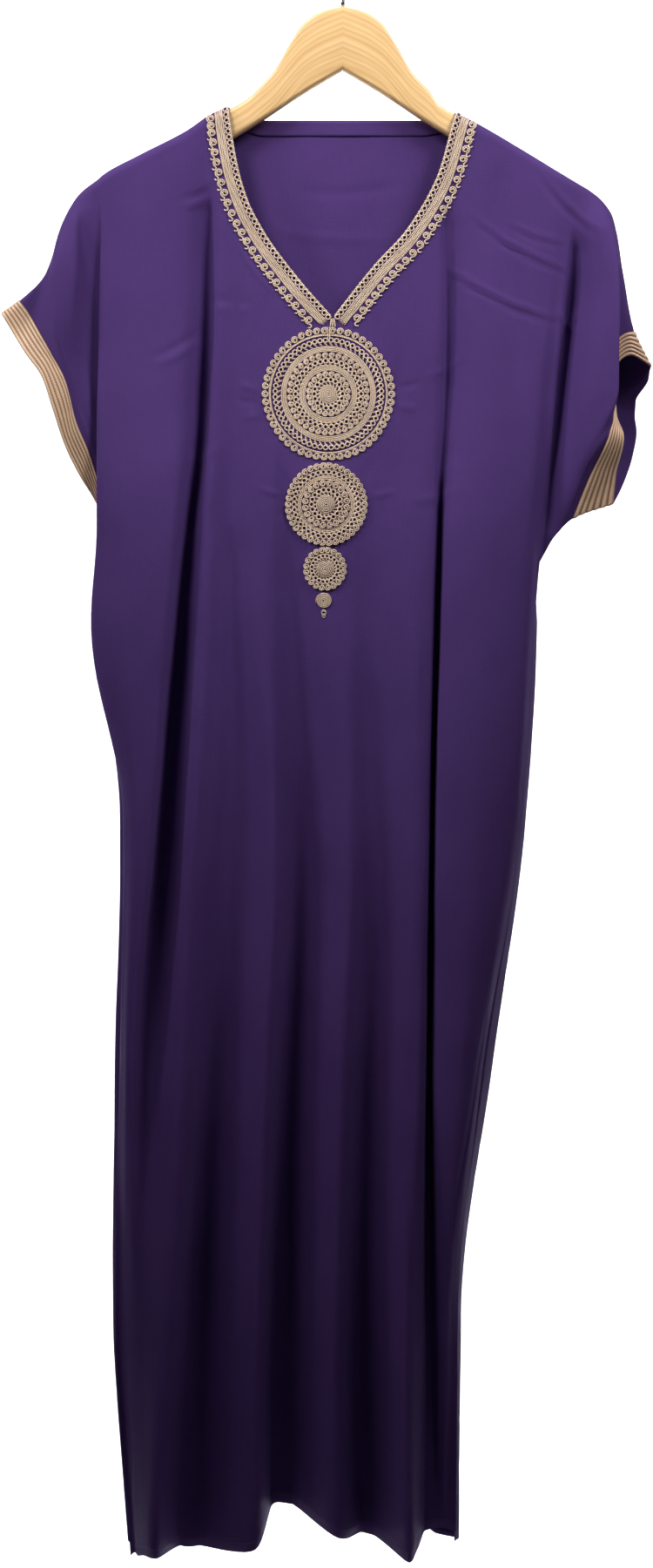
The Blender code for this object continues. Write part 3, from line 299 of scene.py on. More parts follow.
# Small creases pressed into the cloth, as seen from each side's own front: from (x, drop) to
# (x, drop), half width, height out of the cloth (a trough is negative)
Crease = namedtuple("Crease", "x0 drop0 x1 drop1 width height")
FRONT_CREASES = (
    Crease(112, 242, 212, 297, 2.2, 1.5), Crease(114, 246, 208, 300, 1.9, -1.5),
    Crease(88, 287, 203, 340, 2.3, 1.4), Crease(94, 294, 196, 344, 2.0, -1.4),
    Crease(150, 252, 206, 270, 1.9, 1.1), Crease(152, 256, 204, 274, 1.8, -1.0),
    Crease(174, 196, 238, 262, 2.4, 1.2), Crease(171, 200, 232, 266, 2.2, -1.1),
    Crease(196, 329, 218, 352, 2.0, 1.2), Crease(219, 331, 199, 353, 2.0, 1.1),
    Crease(-150, 232, -118, 221, 2.0, -1.0), Crease(-146, 239, -120, 229, 2.0, 0.9),
    Crease(-176, 375, -132, 349, 2.2, -1.1), Crease(-172, 382, -130, 357, 2.4, 1.0),
    Crease(-126, 318, -80, 324, 2.8, -0.8), Crease(-122, 326, -84, 331, 2.8, 0.7),
    Crease(-98, 268, -60, 318, 3.0, 0.6), Crease(74, 392, 118, 368, 3.2, 0.7),
    Crease(-82, 372, -76, 440, 3.4, -0.9), Crease(52, 366, 56, 446, 3.6, -0.9),
    Crease(-96, 398, -74, 402, 2.2, 0.9), Crease(-98, 412, -75, 414, 2.2, -0.8),
    Crease(-94, 428, -72, 424, 2.4, 0.8), Crease(50, 400, 72, 396, 2.2, -0.8),
    Crease(49, 416, 70, 420, 2.4, 0.8), Crease(-78, 492, -55, 498, 2.4, 0.8),
    Crease(26, 500, 48, 494, 2.4, 0.8), Crease(-62, 520, -54, 512, 2.2, -0.7),
    Crease(-150, 468, -104, 452, 3.6, 0.6), Crease(60, 505, 118, 488, 3.8, 0.6),
    Crease(-60, 470, -44, 498, 2.6, -0.6), Crease(30, 462, 20, 494, 2.6, -0.6),
    Crease(-186, 640, -148, 628, 4.2, 0.7), Crease(96, 660, 160, 640, 4.4, 0.7),
    Crease(-70, 742, -22, 728, 4.2, 0.5), Crease(20, 880, 62, 868, 4.0, 0.5),
    Crease(-200, 900, -160, 884, 4.2, -0.6), Crease(92, 1010, 128, 1000, 4.0, 0.6),
    Crease(-120, 1120, -84, 1108, 4.0, 0.5), Crease(-20, 1240, 30, 1226, 4.2, 0.5),
    Crease(-205, 1310, -170, 1300, 4.0, 0.6), Crease(70, 1345, 106, 1330, 4.0, -0.6),
)
BACK_CREASES = (
    Crease(-208, 286, -118, 238, 3.4, 1.2), Crease(-200, 296, -112, 247, 3.4, -1.0),
    Crease(-196, 352, -86, 300, 3.6, 1.0), Crease(104, 244, 200, 292, 3.4, 1.1),
    Crease(98, 254, 190, 301, 3.4, -0.9), Crease(92, 318, 188, 350, 3.6, 0.9),
    Crease(-60, 214, 48, 220, 4.2, 0.6), Crease(-52, 262, 66, 254, 4.2, -0.6),
    Crease(-150, 420, -110, 442, 3.6, 0.8), Crease(70, 410, 120, 396, 3.8, 0.8),
    Crease(-40, 470, 10, 486, 3.8, 0.6), Crease(-186, 560, -140, 548, 4.2, 0.7),
    Crease(86, 600, 150, 584, 4.4, 0.7), Crease(-80, 700, -30, 690, 4.2, 0.5),
    Crease(10, 830, 56, 818, 4.0, 0.5), Crease(-190, 930, -150, 916, 4.2, 0.6),
    Crease(60, 1040, 110, 1024, 4.0, -0.6), Crease(-110, 1180, -70, 1168, 4.2, 0.5),
    Crease(-10, 1290, 40, 1278, 4.2, 0.5), Crease(-190, 1380, -150, 1368, 4.0, 0.6),
)


# Creases bow aside by this share of their length, and fade to their ends by this power of a sine
CREASE_BOW = 0.05
CREASE_FADE = 0.8

# Slow unevenness of hung cloth: its height, then the lengths of its waves across and down and
# where they start, twice, one wave times the other; a negative length leans the other way
Ripple = namedtuple("Ripple", "height x1 drop1 start1 x2 drop2 start2")
RIPPLES = (
    Ripple(0.45, 23.0, 171.0, 0.0, 97.0, 61.0, 0.0),
    Ripple(0.30, 11.0, -83.0, 1.3, math.inf, 37.0, 0.6),
    Ripple(0.16, 6.1, 47.0, 2.1, -31.0, 19.0, 0.0),
)

# Large soft creases along the hang of the front: (x, drop, how far in) down the line, and how far
# they reach to the left and to the right. A ridge goes out, so it is negative. They fade in over
# FLUTE_START and out over FLUTE_END.
FLUTE_START = 25.0
FLUTE_END = 12.0
FLUTE_POINTS = 200
Flute = namedtuple("Flute", "name left right line")
FLUTES = (
    Flute("left fold rolls in", 17, 3, ((-121, 215, 1), (-120, 262, 7), (-120, 311, 10),
                                        (-121, 358, 11), (-124, 397, 11), (-128, 444, 9),
                                        (-133, 492, 5), (-138, 535, 0))),
    Flute("right fold rolls in", 3, 14, ((92, 230, 1), (94, 280, 5), (96, 327, 7),
                                         (96, 382, 7), (95, 429, 4.5), (93, 476, 1))),
    Flute("sleeve edge", 2.2, 17, ((212, 252, 2), (210, 288, 9), (206, 327, 15),
                                   (202, 366, 17), (198, 415, 16), (194, 460, 12),
                                   (190, 510, 5), (186, 540, 0))),
    Flute("sleeve lip", 10, 2.5, ((209, 259, -0.5), (204, 327, -2), (199, 380, -2.5),
                                  (193, 440, -2), (187, 510, -0.5))),
    Flute("left valley", 16, 4, ((-139, 590, 0), (-142, 640, 5), (-146, 725, 10),
                                 (-154, 849, 13), (-162, 950, 11), (-170, 1050, 6),
                                 (-176, 1150, 0))),
    Flute("left seam", 1.8, 1.8, ((-199, 790, 0), (-203, 880, 1.4), (-206, 960, 1.8),
                                  (-208, 1040, 1.4), (-211, 1120, 0))),
    Flute("right seam", 1.8, 1.8, ((139, 960, 0), (132.5, 1010, 1.6), (120, 1100, 1.8),
                                   (107.5, 1178, 1.6), (104, 1215, 0))),
    Flute("soft trough of the right fold", 12, 12, ((142, 190, 0), (146, 250, 2.5),
                                                    (154, 320, 3.5), (160, 380, 2.5),
                                                    (162, 430, 0))),
    Flute("trough 1", 5, 22, ((-105, 524, 1), (-104, 604, 2.5), (-107, 725, 3.5),
                              (-119, 849, 5), (-134, 1016, 6), (-142, 1187, 6.5),
                              (-149, 1361, 5.5), (-152, 1503, 2))),
    Flute("trough 2", 4, 22, ((-57, 476, 0.5), (-56, 604, 3), (-55, 725, 5), (-54, 849, 7),
                              (-62, 1016, 8), (-67, 1187, 8), (-70, 1361, 7), (-71, 1485, 4))),
    Flute("trough 3", 4.5, 22, ((17, 556, 0.5), (20, 685, 3), (22, 849, 5.5), (15, 1016, 7),
                              (9, 1187, 7.5), (5, 1361, 6.5), (5, 1494, 3))),
    Flute("ridge 1", 12, 5, ((-118, 524, -1.5), (-124, 644, -2.5), (-140, 849, -3),
                             (-150, 1016, -4), (-158, 1187, -4), (-167, 1361, -3.5),
                             (-174, 1512, -1))),
    Flute("ridge 2", 15, 4, ((-62, 429, -0.8), (-62, 604, -3), (-62, 849, -4.2),
                             (-70, 1016, -4.2), (-77, 1187, -4.2), (-83, 1361, -4),
                             (-86, 1485, -1.5))),
    Flute("ridge 3", 14, 4, ((9, 604, -1), (8, 725, -2.4), (8, 849, -3.4), (2, 1016, -4),
                             (-3, 1187, -4.2), (-6, 1361, -3.6), (-6, 1494, -1.5))),
    Flute("ridge 4", 12, 5, ((70, 604, -1), (68, 725, -1.5), (68, 849, -2), (61, 1016, -2.5),
                             (58, 1187, -3), (59, 1361, -3), (59, 1503, -1.5))),
)

# Cord work, in millimetres. Radius of a cord, and of one in the chain, in a ring, in the drop
# coil, in a spiral, at a loose end and under the others. FINE_CORD: radius in a small eye or coil
# as a share of its size. LAID: height of a ring's cord over the cloth. Cords taper at their ends.
CORD_SIDES = 6
CORD = 0.62
CHAIN_CORD = CORD * 0.95
RING_CORD = CORD * 0.92
DROP_CORD = CORD * 0.9
SPIRAL_CORD = CORD * 0.85
END_CORD = CORD * 0.8
THIN_CORD = CORD * 0.7
FINE_CORD = 0.3
LAID = CORD * 0.85
TAIL_TAPER = 0.5
END_TAPER = 0.6
COIL_TAPER = 0.7

# A coil: turns, step between two of them and least eye in radii of its cord, points to a turn.
# In a rosette's ring: where it starts, how far it stands up, how much of its lean shows, how
# uneven the coils lie and the step of that from one to the next.
COIL_TURNS = 1.75
TURN_STEP = 2.35
COIL_EYE = 0.9
COIL_POINTS = 11
COIL_START = math.radians(100.0)
COIL_RISE = 0.25
COIL_LEAN = 0.225
COIL_UNEVEN = 0.006
UNEVEN_STEP = 7.0

# A petal: turns of its eye, the share of its size at which the eye starts, its tail in sizes, the
# tail's slant and how far the eye stands over the tail's end
EYE_TURNS = 1.1
EYE_START = 0.80
PETAL_TAIL = 2.0
TAIL_SLANT = math.radians(48.0)
EYE_RISE = 0.45
EYE_POINTS = 15
TAIL_POINTS = 5

# A plain ring of cord: points to a millimetre and at least, its slight waves, their height and
# how they shift from ring to ring. A middle spiral: reach at which it starts, points to a turn,
# dome, and the share of the radius whose height it takes. The cord under a ring of coils: how far
# in, in sizes of a coil, and its points.
RING_POINTS = 2.6
RING_LEAST = 40
RING_WAVES = 5
RING_WAVE = 0.12
RING_SHIFT = 40
SPIRAL_START = 0.5
SPIRAL_POINTS = 20
SPIRAL_DOME = 0.9
SPIRAL_PLACE = 0.2
UNDER_PLACE = 0.78
UNDER_POINTS = 90

# Two cord ends at the top of a rosette: places across, start and length in radii, points, and
# how far they sway through an angle
END_SHIFTS = (-0.8, 0.9)
END_TOP = 0.99
END_RUN = 0.22
END_POINTS = 7
END_SWAY = 0.4
END_ANGLE = 3

# Beside the neck, as distances out from the neckline. First the cord of the edge, how far it
# sways and how often, then the chain of petals with their size, spacing and tail, then the plain
# cords: step between their points, sway, how often and how it shifts from cord to cord, how
# short of the V they end, and how far apart they end there.
EDGE_MIDDLE = 0.9
EDGE_SWAY = 0.15
EDGE_WAVES = 1.2
CHAIN_MIDDLE = 3.3
CHAIN_LOOP = 2.3
CHAIN_PITCH = 5.1
CHAIN_TAIL = 2.6
CORD_LINES = (6.9, 8.4, 9.9, 11.4, 12.9)
CORD_STEP = 2.2
CORD_SWAY = 0.12
CORD_WAVES = 0.31
CORD_SHIFT = 2.1
CORD_SHORT = 0.5
CORD_END = 0.9

# Row of coils beside the cords: middle, radius, cord, count, place of one in its share of the
# run, height at the inner and outer end, and the hooked tail that leaves each coil. The thin cord
# beside them has its own gap and step, and ends short of the V. All keep clear of the large
# rosette and of the middle.
COIL_MIDDLE = 18.1
COIL_RADIUS = 4.4
COIL_CORD = 0.68
COIL_COUNT = 25
COIL_PLACE = 0.55
COIL_INNER, COIL_OUTER = 0.943, 0.643
COIL_LEAVE = math.radians(52.0)
HOOK_SWING = 1.7
HOOK_TURN = math.radians(235.0)
HOOK_POINTS = 9
BESIDE_GAP = 0.1
BESIDE_STEP = 2.5
BESIDE_SHORT = 12.0
ROSETTE_GAP = 0.5
COIL_OVERLAP = 1.0
MIDDLE_GAP = 0.4

# Three short cords join the braids below the V: places across, top and foot, how they spread,
# how far they and the crossing cord ends stand up
JOIN_SHIFTS = (-1.3, 0.0, 1.3)
JOIN_TOP, JOIN_FOOT = 338.5, 346.5
JOIN_SPREAD = 0.09
JOIN_RISE = 0.2
CROSS_RISE = 0.25
JOIN_POINTS = 9

# The trim turns from across the shoulder to square off the neckline over this run. It reaches so
# far along the shoulder, and stays so far under the shoulder line.
SHOULDER_TURN = 26.0 * MM
TRIM_REACH = 23.0 * MM
RIDGE_GAP = 0.4
NECK_POINTS = 601

# Part of the front that carries cord work, in x and z
RELIEF_X = (-0.16, 0.15)
RELIEF_Z = (-0.64, -0.14)

# Rings of a rosette from the outside in. kind: coil, cord, petal or spiral; radius of the ring's
# middle, or of its outermost cord, as a share of the rosette's; count of coils, eyes, cords or
# turns; size of one, or step between two cords, as the same share; lean in degrees
Ring = namedtuple("Ring", "kind radius count size lean")
LARGE_RINGS = (
    Ring("coil", 0.935, 50, 0.065, 0), Ring("cord", 0.868, 1, 0, 0),
    Ring("petal", 0.792, 60, 0.036, 0), Ring("cord", 0.700, 4, 0.022, 0),
    Ring("coil", 0.572, 36, 0.055, 20), Ring("petal", 0.488, 38, 0.037, 0),
    Ring("cord", 0.425, 4, 0.023, 0), Ring("coil", 0.288, 20, 0.056, 20),
    Ring("petal", 0.210, 18, 0.037, 0), Ring("spiral", 0.150, 6, 0, 0),
)
MEDIUM_RINGS = (
    Ring("coil", 0.898, 38, 0.100, 35), Ring("petal", 0.762, 38, 0.058, 0),
    Ring("cord", 0.668, 3, 0.036, 0), Ring("coil", 0.488, 20, 0.100, 35),
    Ring("petal", 0.340, 18, 0.060, 0), Ring("spiral", 0.240, 5.8, 0, 0),
)
SMALL_RINGS = (
    Ring("coil", 0.820, 20, 0.175, 35), Ring("petal", 0.570, 20, 0.100, 0),
    Ring("spiral", 0.400, 5.2, 0, 0),
)
Rosette = namedtuple("Rosette", "name x drop radius dome rings")
ROSETTES = (
    Rosette("rosette_large", -13, 407, 61.5, 0.3, LARGE_RINGS),
    Rosette("rosette_medium", -15, 507.5, 38.6, 1.0, MEDIUM_RINGS),
    Rosette("rosette_small", -16, 566.6, 20.6, 0.8, SMALL_RINGS),
)

# Drop coil: radius, middle as (x, drop), turns, points, reach at which it starts and its dome;
# its knots as (distance below its edge, size), their turns, how far a turn sinks and how far a
# knot stands up; its tail's start below its edge, the drop of the tail's end and its sway
DROP_RADIUS = 7.8
DROP_CENTRE = (-17, 595.6)
DROP_TURNS = 4.8
DROP_POINTS = 80
DROP_START = 0.6
DROP_DOME = 0.8
KNOTS = ((2.6, 2.0), (5.6, 1.4))
KNOT_TURNS = 1.4
KNOT_SINK = 0.15
KNOT_RISE = 0.3
KNOT_POINTS = 16
TAIL_START = 5.8
DROP_TAIL = 609.5
TAIL_SWAY = 0.5

# Cuff braid: ribs across it, steps to a rib, how far the ribs stand out and how full they are
# (less is fuller), its flat ground, and how close it lies on the cloth
CUFF_RIBS = 6
RIB_STEPS = 6
RIB_RISE = 0.9 * MM
RIB_FULLNESS = 0.6
CUFF_BASE = 0.5 * MM
CUFF_FOOT = 0.05 * MM

# Back neck facing: fold shares where it starts and ends, columns, rows, depth, place of its
# cloth inside the back's, and the thin seam at its foot
FACING_START, FACING_END = 4.3, 9.7
FACING_COLUMNS = 60
FACING_ROWS = 6
FACING_DEPTH = 14.0 * MM
FACING_TOP = 0.6 * MM
FACING_INNER, FACING_CLOTH = 0.10 * MM, 0.42 * MM
FACING_FOOT = 0.2 * MM

# Hem: turned fold and its cloth, and the width of a column in its flat map; stitches above it
# with their spacing, length, rise and thread. Neither reaches more than HEM_REACH rows up, and a
# row is taken as at least LEAST_ROW high.
HEM_DEPTH = 9.5 * MM
HEM_COLUMN = 4.0 * MM
HEM_SHARES = (0.15, 0.5, 1.0)
HEM_INNER, HEM_CLOTH = 0.06 * MM, 0.4 * MM
HEM_REACH = 6.0
LEAST_ROW = 0.1 * MM
STITCH_HEIGHT = 9.0 * MM
STITCH_PITCH = 3.4 * MM
STITCH_LENGTH = 2.2 * MM
STITCH_RISE = 0.12 * MM
THREAD = 0.18 * MM
THREAD_SIDES = 4

# Hanger: wood's thickness and round, how far it lies under the cloth, gap of the mitre, ends of
# the arms, where an arm's neck ends and where the arm meets and follows the shoulder line, its
# rounded end and how far its top drops there. Stations along its neck and the rest of it, crowded
# towards the end, steps of a rounded edge, the angle at which its end faces are sharp, and how
# far the grain runs along and through it.
ARM_THICK = 11.0 * MM
ARM_ROUND = 4.5 * MM
ARM_SINK = 2.5 * MM
MITRE_GAP = 0.05 * MM
ARM_END = 218 * MM
ARM_END_RIGHT = 208 * MM
ARM_NECK = 82 * MM
ARM_MEETS = 80 * MM
ARM_LEAVES = 86 * MM
ARM_TIP = 14 * MM
TIP_DROP = 6 * MM
TIP_LEAST = 0.02
NECK_STATIONS = 26
ARM_STATIONS = 34
ARM_CROWDING = 1.4
ROUND_STEPS = 6
SHARP = math.radians(50)
GRAIN_ALONG = 0.8
GRAIN_THROUGH = 0.4

# Hook: wire's radius, inside radius, drop of its foot and rises of its straight part, its swan
# neck as (x, height over the foot of the bend), in degrees where the bend starts and how far it
# goes round, its steps, and the sides of the wire and rings of the ball at its end
HOOK_WIRE = 1.9 * MM
HOOK_RADIUS = 20.0 * MM
HOOK_SEAT = 59.7 * MM
HOOK_RISES = (0.0, 4.0, 8.0)
SWAN_NECK = ((1.5, -2.0), (6.5, 1.5))
HOOK_START = -58
HOOK_SWEEP = 250
HOOK_STEPS = 60
WIRE_SIDES = 16
BALL_RINGS = 10

# Camera: place, dip below the horizon, lens and height of its film in millimetres
CAMERA = (-0.0147, -1.900, -0.553)
CAMERA_DIP = math.atan2(0.216, 1.9)
CAMERA_LENS = 30.93
CAMERA_FILM = 24.0

# Stage: floor, wall behind, bend between them and how far they reach
FLOOR = -2.70
WALL_PLACE = 5.4
COVE_RADIUS = 2.4
COVE_STEPS = 16
STAGE_REACH = 8.0

# Lights in metres, watts and degrees: three small ones on the kaftan, two long ones that make the
# wall white, and the strength of the even light all round
Light = namedtuple("Light", "name place target size power spread")
LIGHTS = (
    Light("key", (-0.80, -0.80, 0.80), (0.0, 0.0, -0.3), (0.5, 0.5), 1.8, 52.0),
    Light("side", (-2.2, -0.8, 0.8), (0.1, 0.0, -0.3), (0.5, 0.5), 1.7, 45.0),
    Light("second", (0.80, -0.60, 0.60), (0.0, 0.0, -0.3), (0.5, 0.5), 1.65, 50.0),
    Light("wall high", (0.0, 3.6, 2.6), (0.0, 5.4, -0.2), (6.0, 0.6), 330.0, 180.0),
    Light("wall low", (0.0, 1.5, -2.5), (0.0, 5.4, -1.9), (6.0, 0.3), 260.0, 180.0),
)
WORLD_STRENGTH = 0.02


# ---------------------------------------------------------------- smooth curves

class Smooth:
    """Curve through knots that keeps crests and troughs where the table puts them."""

    def __init__(self, knots, values):
        self.knots = [float(k) for k in knots]
        self.values = [float(v) for v in values]
        steps = [b - a for a, b in zip(self.knots, self.knots[1:])]
        rises = [b - a for a, b in zip(self.values, self.values[1:])]
        grades = [r / s for r, s in zip(rises, steps)]
        self.slopes = [grades[0]]
        for i in range(1, len(grades)):
            before, after = grades[i - 1], grades[i]
            if before * after <= 0.0:
                self.slopes.append(0.0)
                continue
            heavy = 2.0 * steps[i] + steps[i - 1]
            light = steps[i] + 2.0 * steps[i - 1]
            self.slopes.append((heavy + light) / (heavy / before + light / after))
        self.slopes.append(grades[-1])

    def __call__(self, t):
        knots = self.knots
        t = min(max(t, knots[0]), knots[-1])
        i = 0
        while i < len(knots) - 2 and t > knots[i + 1]:
            i += 1
        step = knots[i + 1] - knots[i]
        u = (t - knots[i]) / step
        rise = u * u * (3.0 - 2.0 * u)
        lead = u * (1.0 - u) * (1.0 - u)
        trail = u * u * (u - 1.0)
        value = self.values[i] + rise * (self.values[i + 1] - self.values[i])
        return value + step * (lead * self.slopes[i] + trail * self.slopes[i + 1])


def ease(t):
    t = min(max(t, 0.0), 1.0)
    return t * t * (3.0 - 2.0 * t)


def mix(a, b, t):
    return a + (b - a) * t


# ---------------------------------------------------------------- panels

def drop_curve(points):
    """Height over x through (x, drop) pairs in millimetres."""
    return Smooth([p[0] * MM for p in points], [-p[1] * MM for p in points])


def shoulder_curve():
    """Height of the shoulder line across the garment, over the neck opening too."""
    points = [(f.top_x, f.top_drop) for f in FRONT_FOLDS]
    left = points[:FRONT_CORNERS[1] + 1]
    right = points[FRONT_CORNERS[3]:]
    return drop_curve(left + [(0, NECK_RISE / MM)] + right)


SHOULDER = shoulder_curve()


def round_over(x, z):
    """Share of its full depth that the cloth has where it rounds over the hanger."""
    drop = SHOULDER(x) - z
    if drop >= SHOULDER_RADIUS:
        return 1.0
    rest = 1.0 - max(drop, 0.0) / SHOULDER_RADIUS
    return math.sqrt(max(1.0 - rest * rest, 0.0))


def slit(z):
    """How far each side of the garment opens at its slit."""
    return SLIT_SPREAD * ease((-SLIT_TOP - z) / SLIT_RUN)


def down_fold(fold, values):
    """Curve through a fold line's values, over the distance below the origin."""
    return Smooth([fold.top_drop * MM] + list(LEVELS), [v * MM for v in values])


class Panel:
    """The front or the back: a surface carried by fold lines, with its half sleeves."""

    def __init__(self, folds, corners, side):
        self.folds = folds
        self.side = side
        self.across = [down_fold(fold, (fold.top_x,) + fold.x) for fold in folds]
        self.depth = [down_fold(fold, fold.y) for fold in folds]
        self.seams = [down_fold(fold, fold.y) for fold in (FRONT_FOLDS[0], FRONT_FOLDS[-1])]
        self.tops = []
        for start, end in zip(corners, corners[1:]):
            span = range(start, end + 1)
            self.tops.append((start, end, Smooth(span, [-folds[i].top_drop * MM for i in span])))
        count = range(len(folds))
        self.hem = Smooth(count, [-fold.hem_drop * MM for fold in folds])

    def top(self, s):
        """Height of the top edge at a fold share."""
        for start, end, curve in self.tops:
            if start <= s <= end:
                return curve(s)
        return self.tops[-1][2](s)

    def seam(self, at_right, z):
        """Where the panel's side lies at a height, before its gap; one seam below the underarm."""
        i = len(self.folds) - 1 if at_right else 0
        under = UNDERARM_RIGHT if at_right else UNDERARM_LEFT
        open_above = -z < under - HAIR
        depth = self.depth[i] if open_above else self.seams[int(at_right)]
        return self.across[i](-z), depth(-z), open_above

    def point(self, s, z):
        """Middle of the wall at fold share s and height z."""
        last = len(self.folds) - 1
        i = min(int(s), last - 1)
        near = range(max(i - 1, 0), min(i + 2, last) + 1)
        xs = [self.across[k](-z) for k in near]
        ys = []
        for k in near:
            y = self.depth[k](-z)
            if k in (0, last):
                _x, y, open_above = self.seam(k == last, z)
                strip = 0.0 if open_above else EDGE_STRIP
                y += self.side * (SEAM_GAP + strip + slit(z))
            ys.append(y)
        x = Smooth(near, xs)(s)
        y = Smooth(near, ys)(s) * round_over(x, z)
        return (x, self.side * max(self.side * y, SEAM_GAP), z)

    def edge_point(self, at_right, z, gap):
        """Outermost point of a side, at the sleeve above the underarm and at the seam below."""
        x, y, open_above = self.seam(at_right, z)
        y = y * round_over(x, z)
        if open_above:
            outward = SLEEVE_GAP if at_right else -SLEEVE_GAP
            return (x + outward, y, z - SLEEVE_DROP)
        return (x, y + self.side * (gap + slit(z)), z)


def along(points, share):
    """Point at a share of the length of a line of (x, drop) pairs."""
    lengths = [0.0]
    for a, b in zip(points, points[1:]):
        lengths.append(lengths[-1] + math.dist(a, b))
    x = Smooth(lengths, [p[0] for p in points])(share * lengths[-1])
    drop = Smooth(lengths, [p[1] for p in points])(share * lengths[-1])
    return x * MM, -drop * MM


# ---------------------------------------------------------------- fine cloth

def steer_columns(panel, share):
    """Below the top edge the columns beside a neck corner keep clear of the neckline."""
    if panel.side > 0:
        return share
    for corner, way in ((FRONT_CORNERS[1], 1.0), (FRONT_CORNERS[3], -1.0)):
        beyond = (share - corner) * way
        if 0.0 <= beyond < CORNER_REACH:
            return share - way * CORNER_CLEAR * (1.0 - beyond / CORNER_REACH)
        if -CORNER_START < beyond < 0.0:
            return share - way * CORNER_CLEAR * (1.0 + beyond / CORNER_START)
    return share


def fine_shares(panel, corners):
    """Fold shares of the columns at the top edge and lower down, crowded beside the neck."""
    top, low = [0.0], [0.0]
    for i in range(len(panel.folds) - 1):
        for k in range(1, FOLD_COLUMNS + 1):
            share = k / FOLD_COLUMNS
            crowded = share
            if i == corners[1]:
                crowded = share ** CROWDING
            if i == corners[-2] - 1:
                crowded = 1.0 - (1.0 - share) ** CROWDING
            top.append(i + crowded)
            low.append(i + share)
    return top, low


def body_rows(panel, corners):
    """Rows of points from the top edge to the hem, with a seam column at each side."""
    top, low = fine_shares(panel, corners)
    last = len(panel.folds) - 1
    turns = [steer_columns(panel, share) for share in top]
    tops = [panel.top(share) for share in top]
    rows = []
    yoke = len(TOP_ROWS) - 1 + YOKE_ROWS
    for j in range(yoke + BODY_ROWS + 1):
        if j < len(TOP_ROWS):
            settle, turn = 0.0, min(TOP_ROWS[j] / TOP_ROWS[TURNED_ROW], 1.0)
        else:
            settle = ease((j - len(TOP_ROWS) + 1) / (YOKE_ROWS * SETTLE_SHARE))
            turn = 1.0
        row = []
        for share_top, share_low, turned, z_top in zip(top, low, turns, tops):
            steered = mix(share_top, turned, turn)
            s = mix(steered, share_low, settle)
            z_under = -mix(UNDERARM_LEFT, UNDERARM_RIGHT, s / last)
            if j < len(TOP_ROWS):
                z = z_top - TOP_ROWS[j]
            elif j <= yoke:
                z = mix(z_top - TOP_ROWS[-1], z_under, (j - len(TOP_ROWS) + 1) / YOKE_ROWS)
            else:
                z = mix(z_under, panel.hem(s), (j - yoke) / BODY_ROWS)
            if j < len(TOP_ROWS) and turned != share_top:
                x = panel.point(s, z)[0]
                z = min(z, SHOULDER(x) - TOP_ROWS[j])
            row.append(panel.point(s, z))
        gap = FLAT_SEAM if j == yoke else SEAM_GAP
        left = panel.edge_point(False, row[0][2], gap)
        right = panel.edge_point(True, row[-1][2], gap)
        if j == 0:
            left = (left[0], panel.side * SEAM_GAP, left[2])
            right = (right[0], panel.side * SEAM_GAP, right[2])
        rows.append([left] + row + [right])
    return rows, yoke


def sleeve_rows(panel, rows, yoke, lines, at_right):
    """Rows of a half sleeve from the body's edge column out to the cuff's edge."""
    edge, inward = (-1, -1 - BEHIND) if at_right else (0, BEHIND)
    column = [row[edge] for row in rows[:yoke + 1]]
    behind = [row[inward] for row in rows[:yoke + 1]]
    top = RIGHT_TOP if at_right else LEFT_TOP
    under = RIGHT_UNDER if at_right else LEFT_UNDER
    corner_depth = (RIGHT_UNDER_DEPTH if at_right else LEFT_UNDER_DEPTH) * MM
    start, finish = column[0], column[-1]
    seam_depth = finish[1] - panel.side * FLAT_SEAM
    shares = (0.0,) + SLEEVE_SHARES + (1.0,)
    curves = []
    for line in lines:
        x_top, z_top = along(top, line.top)
        x_under, z_under = along(under, line.under)
        low = mix(seam_depth, corner_depth, ease(line.under)) + panel.side * FLAT_SEAM
        xs = [x_top] + [v * MM for v in line.x] + [x_under]
        zs = [z_top] + [-v * MM for v in line.drop] + [z_under]
        ys = [panel.side * SLEEVE_FOLD_RADIUS] + [v * MM for v in line.y] + [low]
        curves.append((Smooth(shares, xs), Smooth(shares, ys), Smooth(shares, zs)))
    grid = []
    for j, inner in enumerate(column):
        a = (start[2] - inner[2]) / (start[2] - finish[2])
        fold = min(a / SLEEVE_FOLD_SHARE, 1.0)
        fold = math.sqrt(max(1.0 - (1.0 - fold) ** 2, 0.0))
        knots = [behind[j], inner]
        for curve_x, curve_y, curve_z in curves:
            y = curve_y(a) * fold if j else panel.side * SEAM_GAP
            knots.append((curve_x(a), y, curve_z(a)))
        lengths = [0.0]
        for p, q in zip(knots, knots[1:]):
            lengths.append(lengths[-1] + max(math.dist(p, q), KNOT_GAP))
        across = [Smooth(lengths, [p[axis] for p in knots]) for axis in range(3)]
        line = []
        for i in range(1, len(knots) - 1):
            count = CUFF_COLUMNS if i == len(knots) - 2 else SLEEVE_COLUMNS
            for k in range(1, count + 1):
                at = mix(lengths[i], lengths[i + 1], k / count)
                line.append(tuple(curve(at) for curve in across))
        grid.append(line)
    return grid


def soften(block, rounds):
    """Even out a block of rows along its length, ends kept."""
    for _ in range(rounds):
        inner = block[:, 1:-1] * 0.5 + (block[:, :-2] + block[:, 2:]) * 0.25
        block[:, 1:-1] = inner
    return block


def grid_normals(grid, outward):
    """Unit normals of a grid of points, facing outward = -1 for the front or 1 for the back."""
    down = np.gradient(grid, axis=0)
    over = np.gradient(grid, axis=1)
    normal = np.cross(down, over)
    length = np.linalg.norm(normal, axis=2, keepdims=True)
    normal = normal / np.maximum(length, TINY)
    return normal * -outward


